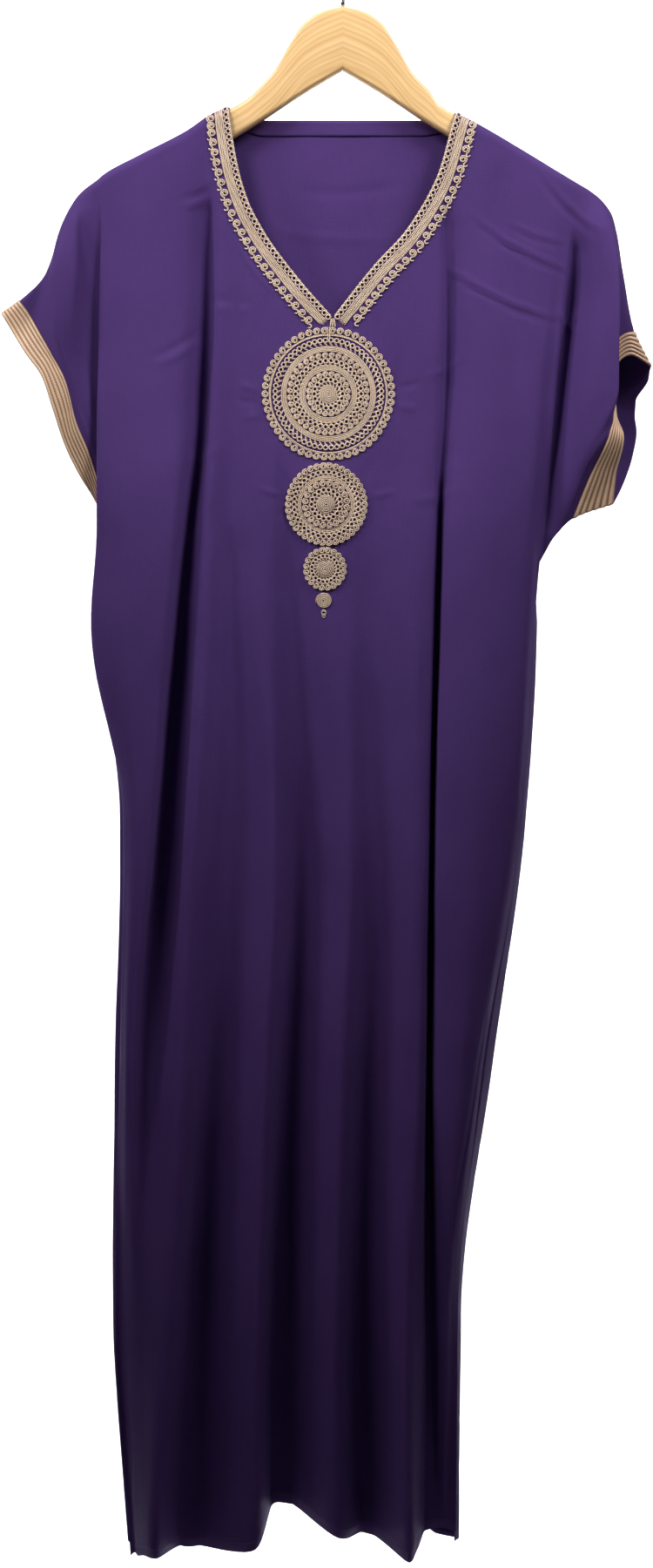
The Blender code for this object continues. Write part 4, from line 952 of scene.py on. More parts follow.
def press_creases(points, normals, creases, fade, outward):
    """Push points out or in along their normals where the small creases run."""
    x = points[..., 0] / MM * -outward
    drop = -points[..., 2] / MM
    height = np.zeros(x.shape)
    for crease in creases:
        dx, dz = crease.x1 - crease.x0, crease.drop1 - crease.drop0
        run = math.hypot(dx, dz)
        t = ((x - crease.x0) * dx + (drop - crease.drop0) * dz) / run ** 2
        arc = np.sin(np.clip(t, 0.0, 1.0) * math.pi)
        off = ((x - crease.x0) * dz - (drop - crease.drop0) * dx) / run + CREASE_BOW * run * arc
        taper = np.where((t > 0.0) & (t < 1.0), arc ** CREASE_FADE, 0.0)
        height += crease.height * taper * np.exp(-(off / crease.width) ** 2)
    for wave in RIPPLES:
        first = np.sin(x / wave.x1 + drop / wave.drop1 + wave.start1)
        second = np.sin(x / wave.x2 + drop / wave.drop2 + wave.start2)
        height += wave.height * first * second
    return points + normals * (height * fade * MM)[..., None]


def press_flutes(points, flutes):
    """Push points in or out where the large soft creases run down the cloth."""
    x, drop = points[..., 0] / MM, -points[..., 2] / MM
    for flute in flutes:
        xs, drops, depths = zip(*flute.line)
        low, high = drops[0], drops[-1]
        fine = np.linspace(low, high, FLUTE_POINTS)
        middle = np.interp(drop, fine, [Smooth(drops, xs)(v) for v in fine])
        depth = np.interp(drop, fine, [Smooth(drops, depths)(v) for v in fine])
        depth = depth * np.clip((drop - low) / FLUTE_START, 0.0, 1.0)
        depth = depth * np.clip((high - drop) / FLUTE_END, 0.0, 1.0)
        off = x - middle
        reach = np.where(off < 0.0, flute.left, flute.right)
        points[..., 1] += depth * np.exp(-(off / reach) ** 2) * MM
    return points


class Cloth:
    """The fine surface of one panel, kept as grids for the trim that lies on it."""

    def __init__(self, folds, corners, side, sleeves, creases, flutes):
        self.panel = Panel(folds, corners, side)
        self.side = side
        rows, self.yoke = body_rows(self.panel, corners)
        left = sleeve_rows(self.panel, rows, self.yoke, sleeves[0], at_right=False)
        right = sleeve_rows(self.panel, rows, self.yoke, sleeves[1], at_right=True)
        self.wide = len(left[0])
        self.across = len(rows[0])
        upper = np.array([l[::-1] + row + r for l, row, r in zip(left, rows, right)])
        body = slice(self.wide, self.wide + self.across)
        for joint in (self.wide, self.wide + self.across - 1):
            reach = slice(joint - JOINT_REACH, joint + JOINT_REACH + 1)
            upper[1:-1, reach] = soften(upper[1:-1, reach].copy(), JOINT_ROUNDS)
        upper = press_flutes(upper, flutes)
        lower = press_flutes(np.array(rows[self.yoke:]), flutes)
        lower[0] = upper[-1, body]
        normals_upper = grid_normals(upper, side)
        normals_lower = grid_normals(lower, side)
        seam = normals_upper[-1, body] + normals_lower[0]
        seam /= np.linalg.norm(seam, axis=1, keepdims=True)
        normals_upper[-1, body] = seam
        normals_lower[0] = seam
        fade_upper = self.edge_fade(upper.shape[:2], upper=True)
        fade_lower = self.edge_fade(lower.shape[:2], upper=False)
        self.upper = press_creases(upper, normals_upper, creases, fade_upper, side)
        self.lower = press_creases(lower, normals_lower, creases, fade_lower, side)
        self.lower[0] = self.upper[-1, body]
        self.normals_upper = grid_normals(self.upper, side)

    @staticmethod
    def edge_fade(shape, upper):
        """No creases at a seam or an edge, where two pieces lie close."""
        rows, columns = shape
        from_side = np.minimum(np.arange(columns), np.arange(columns)[::-1])
        fade = np.clip(from_side / FADE_COLUMNS, 0.0, 1.0)[None, :] * np.ones((rows, 1))
        if upper:
            from_top = np.arange(rows)[:, None] - FADE_START
            fade = fade * np.clip(from_top / FADE_ROWS, 0.0, 1.0)
        return fade

    @staticmethod
    def flat_map(grid):
        """Flat cloth coordinates: across from the middle, and down from the origin."""
        steps = np.linalg.norm(np.diff(grid, axis=1), axis=2)
        across = np.concatenate([np.zeros((grid.shape[0], 1)), np.cumsum(steps, axis=1)], axis=1)
        middle = across[:, grid.shape[1] // 2][:, None]
        return np.stack([across - middle, -grid[..., 2]], axis=2)

    def build(self, name, material):
        """Mesh of both grids, with flat cloth coordinates as its UV map."""
        upper, lower = self.upper, self.lower
        verts = [tuple(p) for p in upper.reshape(-1, 3)]
        flats = [tuple(p) for p in self.flat_map(upper).reshape(-1, 2)]
        wide_upper = upper.shape[1]
        index_upper = np.arange(upper.shape[0] * wide_upper).reshape(upper.shape[0], wide_upper)
        index_lower = [index_upper[-1, self.wide:self.wide + self.across]]
        flat_lower = self.flat_map(lower)
        for row, flat in zip(lower[1:], flat_lower[1:]):
            start = len(verts)
            verts.extend(tuple(p) for p in row)
            flats.extend(tuple(p) for p in flat)
            index_lower.append(np.arange(start, start + len(row)))
        faces = []
        for index in (index_upper, index_lower):
            for a_row, b_row in zip(index, index[1:]):
                for a, b, c, d in zip(a_row, b_row, b_row[1:], a_row[1:]):
                    quad = (int(a), int(b), int(c), int(d))
                    faces.append(quad if self.side < 0 else quad[::-1])
        obj = new_mesh(name, verts, faces, material, flats)
        shell = obj.modifiers.new("shell", "SOLIDIFY")
        shell.thickness = SHELL
        shell.offset = 0.0
        return obj


def run_of(points):
    """Distance run along points, from the first."""
    steps = np.linalg.norm(np.diff(points, axis=0), axis=1)
    return np.concatenate([[0.0], np.cumsum(steps)])


def new_mesh(name, verts, faces, material, flats=None, corner_flats=None):
    """Smooth mesh object; its UV map is given by vertex as flats, or by face corner."""
    mesh = bpy.data.meshes.new(name)
    mesh.from_pydata(verts, [], faces)
    mesh.update()
    if flats is not None:
        corners = np.zeros(len(mesh.loops), dtype=np.int32)
        mesh.loops.foreach_get("vertex_index", corners)
        corner_flats = np.array(flats, dtype=np.float32)[corners]
    if corner_flats is not None:
        layer = mesh.uv_layers.new(name="flat")
        layer.data.foreach_set("uv", corner_flats.ravel())
    mesh.polygons.foreach_set("use_smooth", [True] * len(mesh.polygons))
    mesh.update()
    obj = bpy.data.objects.new(name, mesh)
    bpy.context.scene.collection.objects.link(obj)
    obj.data.materials.append(material)
    return obj


def face_outwards(obj):
    """Turn the faces of a closed form outwards."""
    form = bmesh.new()
    form.from_mesh(obj.data)
    bmesh.ops.recalc_face_normals(form, faces=form.faces)
    form.to_mesh(obj.data)
    form.free()


def new_slab(name, rows, columns, verts, material, flats):
    """Closed slab between two equal grids of points, the first of them all before the second."""
    half = rows * columns
    faces = []
    for a in (j * columns + k for j in range(rows - 1) for k in range(columns - 1)):
        faces.append((a, a + columns, a + columns + 1, a + 1))
        faces.append((half + a, half + a + 1, half + a + columns + 1, half + a + columns))
    for a in (j * columns + k for j in range(rows - 1) for k in (0, columns - 1)):
        faces.append((a, a + columns, half + a + columns, half + a))
    for a in (j * columns + k for k in range(columns - 1) for j in (0, rows - 1)):
        faces.append((a, a + 1, half + a + 1, half + a))
    obj = new_mesh(name, verts, faces, material, flats)
    face_outwards(obj)
    return obj


def new_loft(name, sections, material, flats):
    """Closed form through sections that all have the same count of points."""
    count = len(sections[0])
    verts = [point for section in sections for point in section]
    faces = [tuple(range(count)), tuple(reversed(range(len(verts) - count, len(verts))))]
    for j in range(len(sections) - 1):
        for k in range(count):
            a, b = j * count + k, j * count + (k + 1) % count
            faces.append((a, a + count, b + count, b))
    obj = new_mesh(name, verts, faces, material, flats)
    face_outwards(obj)
    return obj


class Relief:
    """Depth of the front cloth over the plane of x and z, for the trim sewn on it.

    It is found by rays from in front, STEP apart. Places that no ray meets take their
    neighbours' depth, FILL_ROUNDS steps out, and NO_CLOTH beyond that.
    """

    STEP = 1.0 * MM
    RAY_START = -0.3
    FILL_ROUNDS = 14
    NO_CLOTH = -0.01
    SLOPE_REACH = 2.5 * MM
    STEEPEST = 2.0

    def __init__(self, cloth, x_range, z_range):
        rows = np.concatenate([cloth.upper[:, cloth.wide:cloth.wide + cloth.across],
                               cloth.lower[1:]])
        verts = [tuple(p) for p in rows.reshape(-1, 3)]
        wide = rows.shape[1]
        faces = []
        for j in range(rows.shape[0] - 1):
            for k in range(wide - 1):
                a = j * wide + k
                faces.append((a, a + wide, a + wide + 1, a + 1))
        tree = BVHTree.FromPolygons(verts, faces)
        self.x0, x1 = x_range
        self.z0, z1 = z_range
        self.nx = int((x1 - self.x0) / self.STEP) + 1
        self.nz = int((z1 - self.z0) / self.STEP) + 1
        depth = np.full((self.nz, self.nx), np.nan)
        way = Vector((0.0, 1.0, 0.0))
        for i in range(self.nz):
            z = self.z0 + i * self.STEP
            for k in range(self.nx):
                start = Vector((self.x0 + k * self.STEP, self.RAY_START, z))
                spot = tree.ray_cast(start, way)[0]
                if spot is not None:
                    depth[i, k] = spot.y
        self.depth = self.fill(depth)

    def fill(self, depth):
        """Carry the cloth's depth a little way past its edges."""
        for _ in range(self.FILL_ROUNDS):
            gaps = np.isnan(depth)
            if not gaps.any():
                break
            padded = np.pad(depth, 1, constant_values=np.nan)
            stack = np.stack([padded[1:-1, :-2], padded[1:-1, 2:],
                              padded[:-2, 1:-1], padded[2:, 1:-1]])
            count = (~np.isnan(stack)).sum(axis=0)
            total = np.nansum(stack, axis=0)
            mean = np.where(count > 0, total / np.maximum(count, 1), np.nan)
            depth = np.where(gaps, mean, depth)
        return np.nan_to_num(depth, nan=self.NO_CLOTH)

    def at(self, x, z):
        """Depth at points given by arrays of x and z."""
        u = np.clip((x - self.x0) / self.STEP, 0.0, self.nx - 1.001)
        v = np.clip((z - self.z0) / self.STEP, 0.0, self.nz - 1.001)
        i, k = v.astype(int), u.astype(int)
        fv, fu = v - i, u - k
        d = self.depth
        low = d[i, k] * (1 - fu) + d[i, k + 1] * fu
        high = d[i + 1, k] * (1 - fu) + d[i + 1, k + 1] * fu
        return low * (1 - fv) + high * fv

    def lift(self, x, z, height):
        """Points at a height off the cloth, and the way out of it."""
        reach = self.SLOPE_REACH
        slope_x = (self.at(x + reach, z) - self.at(x - reach, z)) / (2 * reach)
        slope_z = (self.at(x, z + reach) - self.at(x, z - reach)) / (2 * reach)
        slope_x = np.clip(slope_x, -self.STEEPEST, self.STEEPEST)
        slope_z = np.clip(slope_z, -self.STEEPEST, self.STEEPEST)
        normal = np.stack([slope_x, -np.ones_like(slope_x), slope_z], axis=-1)
        normal /= np.linalg.norm(normal, axis=-1, keepdims=True)
        base = np.stack([x, self.at(x, z), z], axis=-1)
        return base + normal * height[..., None], normal


# ---------------------------------------------------------------- cords

class Bunch:
    """Many lengths of cord gathered into one piece."""

    def __init__(self):
        self.verts, self.faces, self.flats = [], [], []

    def tube(self, points, normals, radius, sides=CORD_SIDES, closed=False, taper=0.0):
        """A round cord along points; normals point away from what it lies on."""
        count = len(points)
        if count < 2:
            return
        if closed:
            ahead, before = np.roll(points, -1, axis=0), np.roll(points, 1, axis=0)
        else:
            ahead = np.concatenate([points[1:], points[-1:]])
            before = np.concatenate([points[:1], points[:-1]])
        run = ahead - before
        run /= np.maximum(np.linalg.norm(run, axis=1, keepdims=True), TINY)
        side = np.cross(run, normals)
        side /= np.maximum(np.linalg.norm(side, axis=1, keepdims=True), TINY)
        up = np.cross(side, run)
        length = run_of(points)
        radii = np.full(count, radius)
        if taper and not closed:
            from_end = np.minimum(np.arange(count), np.arange(count)[::-1])
            radii = radii * np.clip(taper + (1.0 - taper) * from_end / 2.0, 0.0, 1.0)
        start = len(self.verts)
        for i in range(count):
            for k in range(sides):
                angle = math.tau * k / sides
                p = points[i] + (side[i] * math.cos(angle) + up[i] * math.sin(angle)) * radii[i]
                self.verts.append(tuple(p))
        rounds = count if closed else count - 1
        step = length[-1] / (count - 1)
        for i in range(rounds):
            n = (i + 1) % count
            here = length[i]
            there = length[i + 1] if i + 1 < count else length[i] + step
            for k in range(sides):
                m = (k + 1) % sides
                self.faces.append((start + i * sides + k, start + i * sides + m,
                                   start + n * sides + m, start + n * sides + k))
                turn, turn_next = k / sides, (k + 1) / sides
                self.flats.append(((here, turn), (here, turn_next),
                                   (there, turn_next), (there, turn)))
        if not closed:
            for i, way in ((0, 1), (count - 1, -1)):
                cap = [start + i * sides + k for k in range(sides)][::way]
                self.faces.append(tuple(cap[::-1]))
                self.flats.append(tuple((length[i], k / sides) for k in range(sides)))

    def build(self, name, material):
        """Mesh of all the cords."""
        flats = np.array([uv for face in self.flats for uv in face], dtype=np.float32)
        return new_mesh(name, self.verts, self.faces, material, corner_flats=flats)


def spiral_coil(centre, radius, start, way, cord):
    """Flat spiral in the plane of x and z, from its middle out."""
    k = np.linspace(0.0, 1.0, int(COIL_TURNS * COIL_POINTS))
    inner = max(radius - cord - COIL_TURNS * TURN_STEP * cord, COIL_EYE * cord)
    reach = inner + (radius - cord - inner) * k
    angle = start + way * COIL_TURNS * math.tau * (1.0 - k)
    return centre[0] + reach * np.cos(angle), centre[1] + reach * np.sin(angle)


def sew(bunch, relief, x, z, height, cord, closed=False, taper=0.0):
    """Lay a cord on the cloth; all in millimetres, height is over the cloth."""
    x, z, height = np.broadcast_arrays(x, z, height)
    points, normals = relief.lift(x * MM, z * MM, height * MM + SHELL / 2.0)
    bunch.tube(points, normals, cord * MM, closed=closed, taper=taper)


def ring_height(spec, share):
    """Cords stand a little prouder towards a rosette's middle."""
    return LAID + spec.dome * (1.0 - share) ** 2


def beside(spec, reach, angle):
    """Place at a reach and an angle from a rosette's middle."""
    return spec.x + reach * np.cos(angle), -spec.drop + reach * np.sin(angle)


def round_angles(ring):
    """Angles of the eyes or coils of a ring, the first beside the top."""
    return [math.tau * (k + 0.5) / ring.count + math.pi / 2 for k in range(ring.count)]


def coil_ring(bunch, relief, spec, ring):
    """Coils side by side, each on its slant, at slightly uneven distances."""
    size = ring.size * spec.radius
    cord = min(CORD, size * FINE_CORD)
    lean = math.tan(math.radians(ring.lean)) * COIL_LEAN
    for k, angle in enumerate(round_angles(ring)):
        uneven = 1.0 + COIL_UNEVEN * math.sin(UNEVEN_STEP * k + ring.count)
        cx, cz = beside(spec, ring.radius * spec.radius * uneven, angle)
        x, z = spiral_coil((cx, cz), size, angle - COIL_START, 1.0, cord)
        along_ring = (x - cx) * -math.sin(angle) + (z - cz) * math.cos(angle)
        height = ring_height(spec, ring.radius) + COIL_RISE + lean * (along_ring + size)
        sew(bunch, relief, x, z, height, cord, taper=COIL_TAPER)


def petal(size, tail):
    """Eye of cord and its slanted tail: places outwards and along, from the eye's middle."""
    end = math.pi - TAIL_SLANT
    phi = np.linspace(end - EYE_TURNS * math.tau, end, EYE_POINTS)
    reach = size * np.linspace(EYE_START, 1.0, EYE_POINTS)
    out, along_it = reach * np.cos(phi), reach * np.sin(phi)
    step = np.linspace(0.0, tail, TAIL_POINTS)[1:]
    out = np.concatenate([out, out[-1] - step * math.sin(TAIL_SLANT)])
    along_it = np.concatenate([along_it, along_it[-1] - step * math.cos(TAIL_SLANT)])
    return out, along_it


def petal_ring(bunch, relief, spec, ring):
    """Eyes of cord side by side, the tail of each passing under the next."""
    size = ring.size * spec.radius
    cord = min(CORD, size * FINE_CORD)
    out, along_it = petal(size, size * PETAL_TAIL)
    height = ring_height(spec, ring.radius) + np.linspace(EYE_RISE, 0.0, len(out))
    for angle in round_angles(ring):
        x, z = beside(spec, ring.radius * spec.radius + out, angle)
        x = x - along_it * math.sin(angle)
        z = z + along_it * math.cos(angle)
        sew(bunch, relief, x, z, height, cord, taper=COIL_TAPER)


def cord_ring(bunch, relief, spec, ring):
    """Cords all round, side by side, with slight waves that start elsewhere on each."""
    for k in range(ring.count):
        share = ring.radius - k * ring.size
        reach = share * spec.radius
        count = max(int(reach * RING_POINTS), RING_LEAST)
        angle = np.linspace(0.0, math.tau, count, endpoint=False)
        wave = RING_WAVE * np.sin(angle * RING_WAVES + share * RING_SHIFT)
        x, z = beside(spec, reach + wave, angle)
        sew(bunch, relief, x, z, ring_height(spec, share), RING_CORD, closed=True)


def centre_spiral(bunch, relief, spec, ring):
    """Domed coil in a rosette's middle."""
    k = np.linspace(0.0, 1.0, int(ring.count * SPIRAL_POINTS))
    end = ring.radius * spec.radius - CORD / 2.0
    x, z = beside(spec, mix(SPIRAL_START, end, k), ring.count * math.tau * k)
    dome = (1.0 - k ** 2) * (SPIRAL_DOME + spec.dome)
    sew(bunch, relief, x, z, ring_height(spec, SPIRAL_PLACE) + dome, SPIRAL_CORD)


def under_cords(bunch, relief, spec):
    """A thin cord on the cloth inside each ring of coils, so that no gap shows there."""
    for ring in spec.rings:
        if ring.kind == "coil":
            reach = (ring.radius - ring.size * UNDER_PLACE) * spec.radius
            x, z = beside(spec, reach, np.linspace(0.0, math.tau, UNDER_POINTS, endpoint=False))
            sew(bunch, relief, x, z, CORD / 2.0, THIN_CORD, closed=True)


def make_rosette(spec, relief, material):
    """Rings of cord work, and two cord ends tucked in at the top."""
    bunch = Bunch()
    makers = {"coil": coil_ring, "petal": petal_ring, "cord": cord_ring, "spiral": centre_spiral}
    for ring in spec.rings:
        makers[ring.kind](bunch, relief, spec, ring)
    under_cords(bunch, relief, spec)
    top = -spec.drop + spec.radius * END_TOP
    z = np.linspace(top, top - spec.radius * END_RUN, END_POINTS)
    for shift in END_SHIFTS:
        x = spec.x + shift + END_SWAY * np.sin(np.linspace(0, END_ANGLE, END_POINTS))
        sew(bunch, relief, x, z, LAID * 2.0, END_CORD, taper=END_TAPER)
    return bunch.build(spec.name + "_cords", material)


def make_drop(relief, material):
    """The drop coil: one domed coil, two knots under it and a short tail."""
    bunch = Bunch()
    x0, drop0 = DROP_CENTRE
    k = np.linspace(0.0, 1.0, DROP_POINTS)
    reach = mix(DROP_START, DROP_RADIUS - CORD, k)
    angle = DROP_TURNS * math.tau * k - math.pi / 2
    height = DROP_CORD + DROP_DOME * (1.0 - k ** 2)
    sew(bunch, relief, x0 + reach * np.cos(angle), -drop0 + reach * np.sin(angle), height,
        DROP_CORD)
    foot = drop0 + DROP_RADIUS
    angle = np.linspace(0.0, math.tau * KNOT_TURNS, KNOT_POINTS)
    for below, size in KNOTS:
        x = x0 + size * np.cos(angle)
        z = -(foot + below) + size * np.sin(angle) - angle * KNOT_SINK
        sew(bunch, relief, x, z, CORD + KNOT_RISE * np.sin(angle), END_CORD, taper=END_TAPER)
    z = -np.linspace(foot + TAIL_START, DROP_TAIL, TAIL_POINTS)
    sew(bunch, relief, x0 + TAIL_SWAY * np.sin(z), z, CORD, THIN_CORD, taper=TAIL_TAPER)
    return bunch.build("drop_coil_cords", material)


def neckline(panel, at_right):
    """Neckline from the shoulder to the V as fine points, in the plane of x and z."""
    corner, point = FRONT_CORNERS[3 if at_right else 1], FRONT_CORNERS[2]
    line = []
    for s in np.linspace(corner, point, NECK_POINTS):
        z = panel.top(s)
        line.append((panel.point(s, z)[0], z))
    return np.array(line)


def under_ridge(x, z):
    """Heights kept under the shoulder line; all in millimetres."""
    ridge = np.array([SHOULDER(v * MM) / MM for v in x]) - RIDGE_GAP
    return np.minimum(z, ridge)


class NeckPath:
    """Places beside the neckline: distance run from the shoulder, and distance outwards.

    The neckline is kept at COUNT points, and its way out is squared off over REACH of them.
    """

    COUNT = 400
    REACH = 9

    def __init__(self, panel, at_right):
        self.at_right = at_right
        self.outward = 1.0 if at_right else -1.0
        line = neckline(panel, at_right)
        coarse = run_of(line)
        self.length = coarse[-1] / MM
        self.point_x = line[-1, 0] / MM
        x_end = line[0, 0] + self.outward * TRIM_REACH
        shoulder = np.array([x_end - line[0, 0], SHOULDER(x_end) - line[0, 1] - RIDGE_GAP * MM])
        shoulder /= np.linalg.norm(shoulder)
        self.fine = np.linspace(0.0, coarse[-1], self.COUNT)
        self.x = np.interp(self.fine, coarse, line[:, 0])
        self.z = np.interp(self.fine, coarse, line[:, 1])
        ahead = np.minimum(np.arange(self.COUNT) + self.REACH, self.COUNT - 1)
        back = np.maximum(np.arange(self.COUNT) - self.REACH, 0)
        run = np.stack([self.x[ahead] - self.x[back], self.z[ahead] - self.z[back]], axis=1)
        run /= np.linalg.norm(run, axis=1, keepdims=True)
        out = np.stack([-run[:, 1], run[:, 0]], axis=1) * self.outward
        turn = np.array([ease(v / SHOULDER_TURN) for v in self.fine])[:, None]
        out = shoulder[None, :] * (1.0 - turn) + out * turn
        self.out = out / np.linalg.norm(out, axis=1, keepdims=True)

    def at(self, run, offset):
        """Points in millimetres at a run along the neckline and an offset outwards."""
        run, offset = np.atleast_1d(run) * MM, np.atleast_1d(offset) * MM
        x, z, out_x, out_z = [np.interp(run, self.fine, values)
                              for values in (self.x, self.z, self.out[:, 0], self.out[:, 1])]
        x, z = (x + out_x * offset) / MM, (z + out_z * offset) / MM
        return x, under_ridge(x, z)


def clear_of_rosette(x, z, gap):
    """How many leading points keep clear of the large rosette."""
    top = ROSETTES[0]
    hits = np.nonzero(np.hypot(x - top.x, z + top.drop) <= top.radius + gap)[0]
    return hits[0] if len(hits) else len(x)


def make_neck_braid(path, relief, material, name):
    """The chain of petals between its edge cord and five plain cords, and the joins' cords."""
    bunch = Bunch()
    total = path.length
    out, along_it = petal(CHAIN_LOOP, CHAIN_TAIL)
    lift = CORD + np.linspace(EYE_RISE, 0.0, len(out))
    eyes = int(total / CHAIN_PITCH)
    for k in range(eyes):
        run = np.clip(total * (k + 0.5) / eyes - along_it, 0.0, total)
        x, z = path.at(run, CHAIN_MIDDLE + out)
        sew(bunch, relief, x, z, lift, CHAIN_CORD, taper=END_TAPER)
    run = np.linspace(0.0, total - 1.0, int(total / CORD_STEP))
    x, z = path.at(run, EDGE_MIDDLE + EDGE_SWAY * np.sin(run * EDGE_WAVES))
    sew(bunch, relief, x, z, CORD, CORD, taper=END_TAPER)
    if path.at_right:
        for shift in JOIN_SHIFTS:
            z = -np.linspace(JOIN_TOP, JOIN_FOOT, JOIN_POINTS)
            x = path.point_x + shift - JOIN_SPREAD * (z + JOIN_TOP) * shift
            sew(bunch, relief, x, z, CORD + JOIN_RISE, CORD, taper=END_TAPER)
    for n, line in enumerate(CORD_LINES):
        run = np.linspace(0.0, total - CORD_SHORT, int(total / CORD_STEP))
        x, z = path.at(run, line + CORD_SWAY * np.sin(run * CORD_WAVES + n * CORD_SHIFT))
        limit = path.point_x + CORD_END * (n % 2 + 0.5) * path.outward
        beyond = (x - limit) * path.outward < 0.0
        x = np.where(beyond, limit, x)
        keep = clear_of_rosette(x, z, ROSETTE_GAP)
        height = CHAIN_CORD + CROSS_RISE * beyond[:keep]
        sew(bunch, relief, x[:keep], z[:keep], height, CORD, taper=END_TAPER)
    return bunch.build(name, material)


def make_neck_coils(path, relief, material, name):
    """The row of spiral coils, each with its small hooked tail, and the thin cord beside it."""
    bunch = Bunch()
    way = -path.outward
    turn = np.linspace(0.0, HOOK_TURN, HOOK_POINTS)[1:]
    for k in range(COIL_COUNT):
        run = path.length / COIL_COUNT * (k + COIL_PLACE)
        (cx, bx), (cz, bz) = path.at([run, run], [COIL_MIDDLE, COIL_MIDDLE - 1.0])
        leave = math.atan2(cz - bz, cx - bx) + way * COIL_LEAVE
        x, z = spiral_coil((cx, cz), COIL_RADIUS, leave, -way, COIL_CORD)
        sine, cosine = math.sin(leave), math.cos(leave)
        on, off = HOOK_SWING * way * np.sin(turn), HOOK_SWING * (1.0 - np.cos(turn))
        x = np.concatenate([x, x[-1] - sine * on + cosine * off])
        z = np.concatenate([z, z[-1] + cosine * on + sine * off])
        past_middle = ((x - path.point_x) * path.outward < MIDDLE_GAP).any()
        if past_middle or clear_of_rosette(x, z, -COIL_OVERLAP) < len(x):
            continue
        height = np.linspace(COIL_INNER, COIL_OUTER, len(x))
        sew(bunch, relief, x, under_ridge(x, z), height, COIL_CORD, taper=COIL_TAPER)
    run = np.linspace(0.0, path.length - BESIDE_SHORT, int(path.length / BESIDE_STEP))
    x, z = path.at(run, COIL_MIDDLE - COIL_RADIUS - BESIDE_GAP)
    keep = clear_of_rosette(x, z, ROSETTE_GAP)
    sew(bunch, relief, x[:keep], z[:keep], THIN_CORD, THIN_CORD, taper=END_TAPER)
    return bunch.build(name, material)


def between(grid, row, column):
    """Point of a grid part of the way from one of its rows to the next."""
    low = min(int(row), len(grid) - 2)
    return mix(grid[low, column], grid[low + 1, column], row - low)


def make_cuff(cloth, at_right, name, material):
    """Ribbed braid on the last columns of a half sleeve."""
    span = slice(-CUFF_COLUMNS - 1, None) if at_right else slice(CUFF_COLUMNS, None, -1)
    points, ways = cloth.upper[:, span], cloth.normals_upper[:, span]
    fine = CUFF_RIBS * RIB_STEPS
    shares = np.linspace(0.0, CUFF_COLUMNS, fine + 1)
    low = np.minimum(shares.astype(int), CUFF_COLUMNS - 1)
    part = (shares - low)[None, :, None]
    base = points[:, low] * (1 - part) + points[:, low + 1] * part
    way = ways[:, low] * (1 - part) + ways[:, low + 1] * part
    way /= np.linalg.norm(way, axis=2, keepdims=True)
    phase = np.linspace(0.0, CUFF_RIBS, fine + 1)
    rib = np.abs(np.sin(math.pi * phase)) ** RIB_FULLNESS
    height = SHELL / 2.0 + CUFF_BASE + RIB_RISE * rib
    outer = base + way * height[None, :, None]
    lower = base + way * (SHELL / 2.0 + CUFF_FOOT)
    rows, columns = outer.shape[:2]
    run = run_of(base[:, fine // 2])
    verts = [tuple(p) for face in (outer, lower) for p in face.reshape(-1, 3)]
    flats = [(run[j], phase[k]) for j in range(rows) for k in range(columns)] * 2
    return new_slab(name, rows, columns, verts, material, flats)


# ---------------------------------------------------------------- facing, hems and seams

def make_facing(cloth, material):
    """The turned strip inside the back neck, with the seam at its lower edge."""
    panel = cloth.panel
    verts, flats = [], []
    for inside in (FACING_INNER, FACING_INNER + FACING_CLOTH):
        for j in range(FACING_ROWS + 1):
            at_foot = j == FACING_ROWS and inside > FACING_INNER
            reach = SHELL / 2.0 + inside - (FACING_FOOT if at_foot else 0.0)
            for k in range(FACING_COLUMNS + 1):
                s = mix(FACING_START, FACING_END, k / FACING_COLUMNS)
                z = panel.top(s) - FACING_TOP - FACING_DEPTH * j / FACING_ROWS
                x, y, _z = panel.point(s, z)
                verts.append((x, y - reach, z))
                flats.append((x, -z))
    return new_slab("back_neck_facing_cloth", FACING_ROWS + 1, FACING_COLUMNS + 1, verts,
                    material, flats)


def rows_above_hem(grid, height):
    """Row of each column that lies a height above the hem, as a share between two rows."""
    lengths = np.linalg.norm(grid[-1] - grid[-2], axis=1)
    return len(grid) - 1 - np.minimum(height / np.maximum(lengths, LEAST_ROW), HEM_REACH)


def hem_stitches(cloth, material, name):
    """Row of stitches a little above the hem, on both faces of the cloth."""
    bunch = Bunch()
    grid = cloth.lower
    normals = grid_normals(grid, cloth.side)
    rows = rows_above_hem(grid, STITCH_HEIGHT)
    inner = range(1, grid.shape[1] - 1)
    base = np.array([between(grid, rows[k], k) for k in inner])
    ways = np.array([normals[int(rows[k]), k] for k in inner])
    run = run_of(base)
    lift = SHELL / 2.0 + np.array([0.0, STITCH_RISE, 0.0])
    for n in range(int(run[-1] / STITCH_PITCH) - 1):
        at = n * STITCH_PITCH + np.array([0.0, STITCH_LENGTH / 2.0, STITCH_LENGTH])
        p = np.stack([np.interp(at, run, base[:, i]) for i in range(3)], axis=1)
        w = np.stack([np.interp(at, run, ways[:, i]) for i in range(3)], axis=1)
        w /= np.linalg.norm(w, axis=1, keepdims=True)
        for face in (1.0, -1.0):
            bunch.tube(p + w * face * lift[:, None], w * face, THREAD, THREAD_SIDES)
    return bunch.build(name, material)


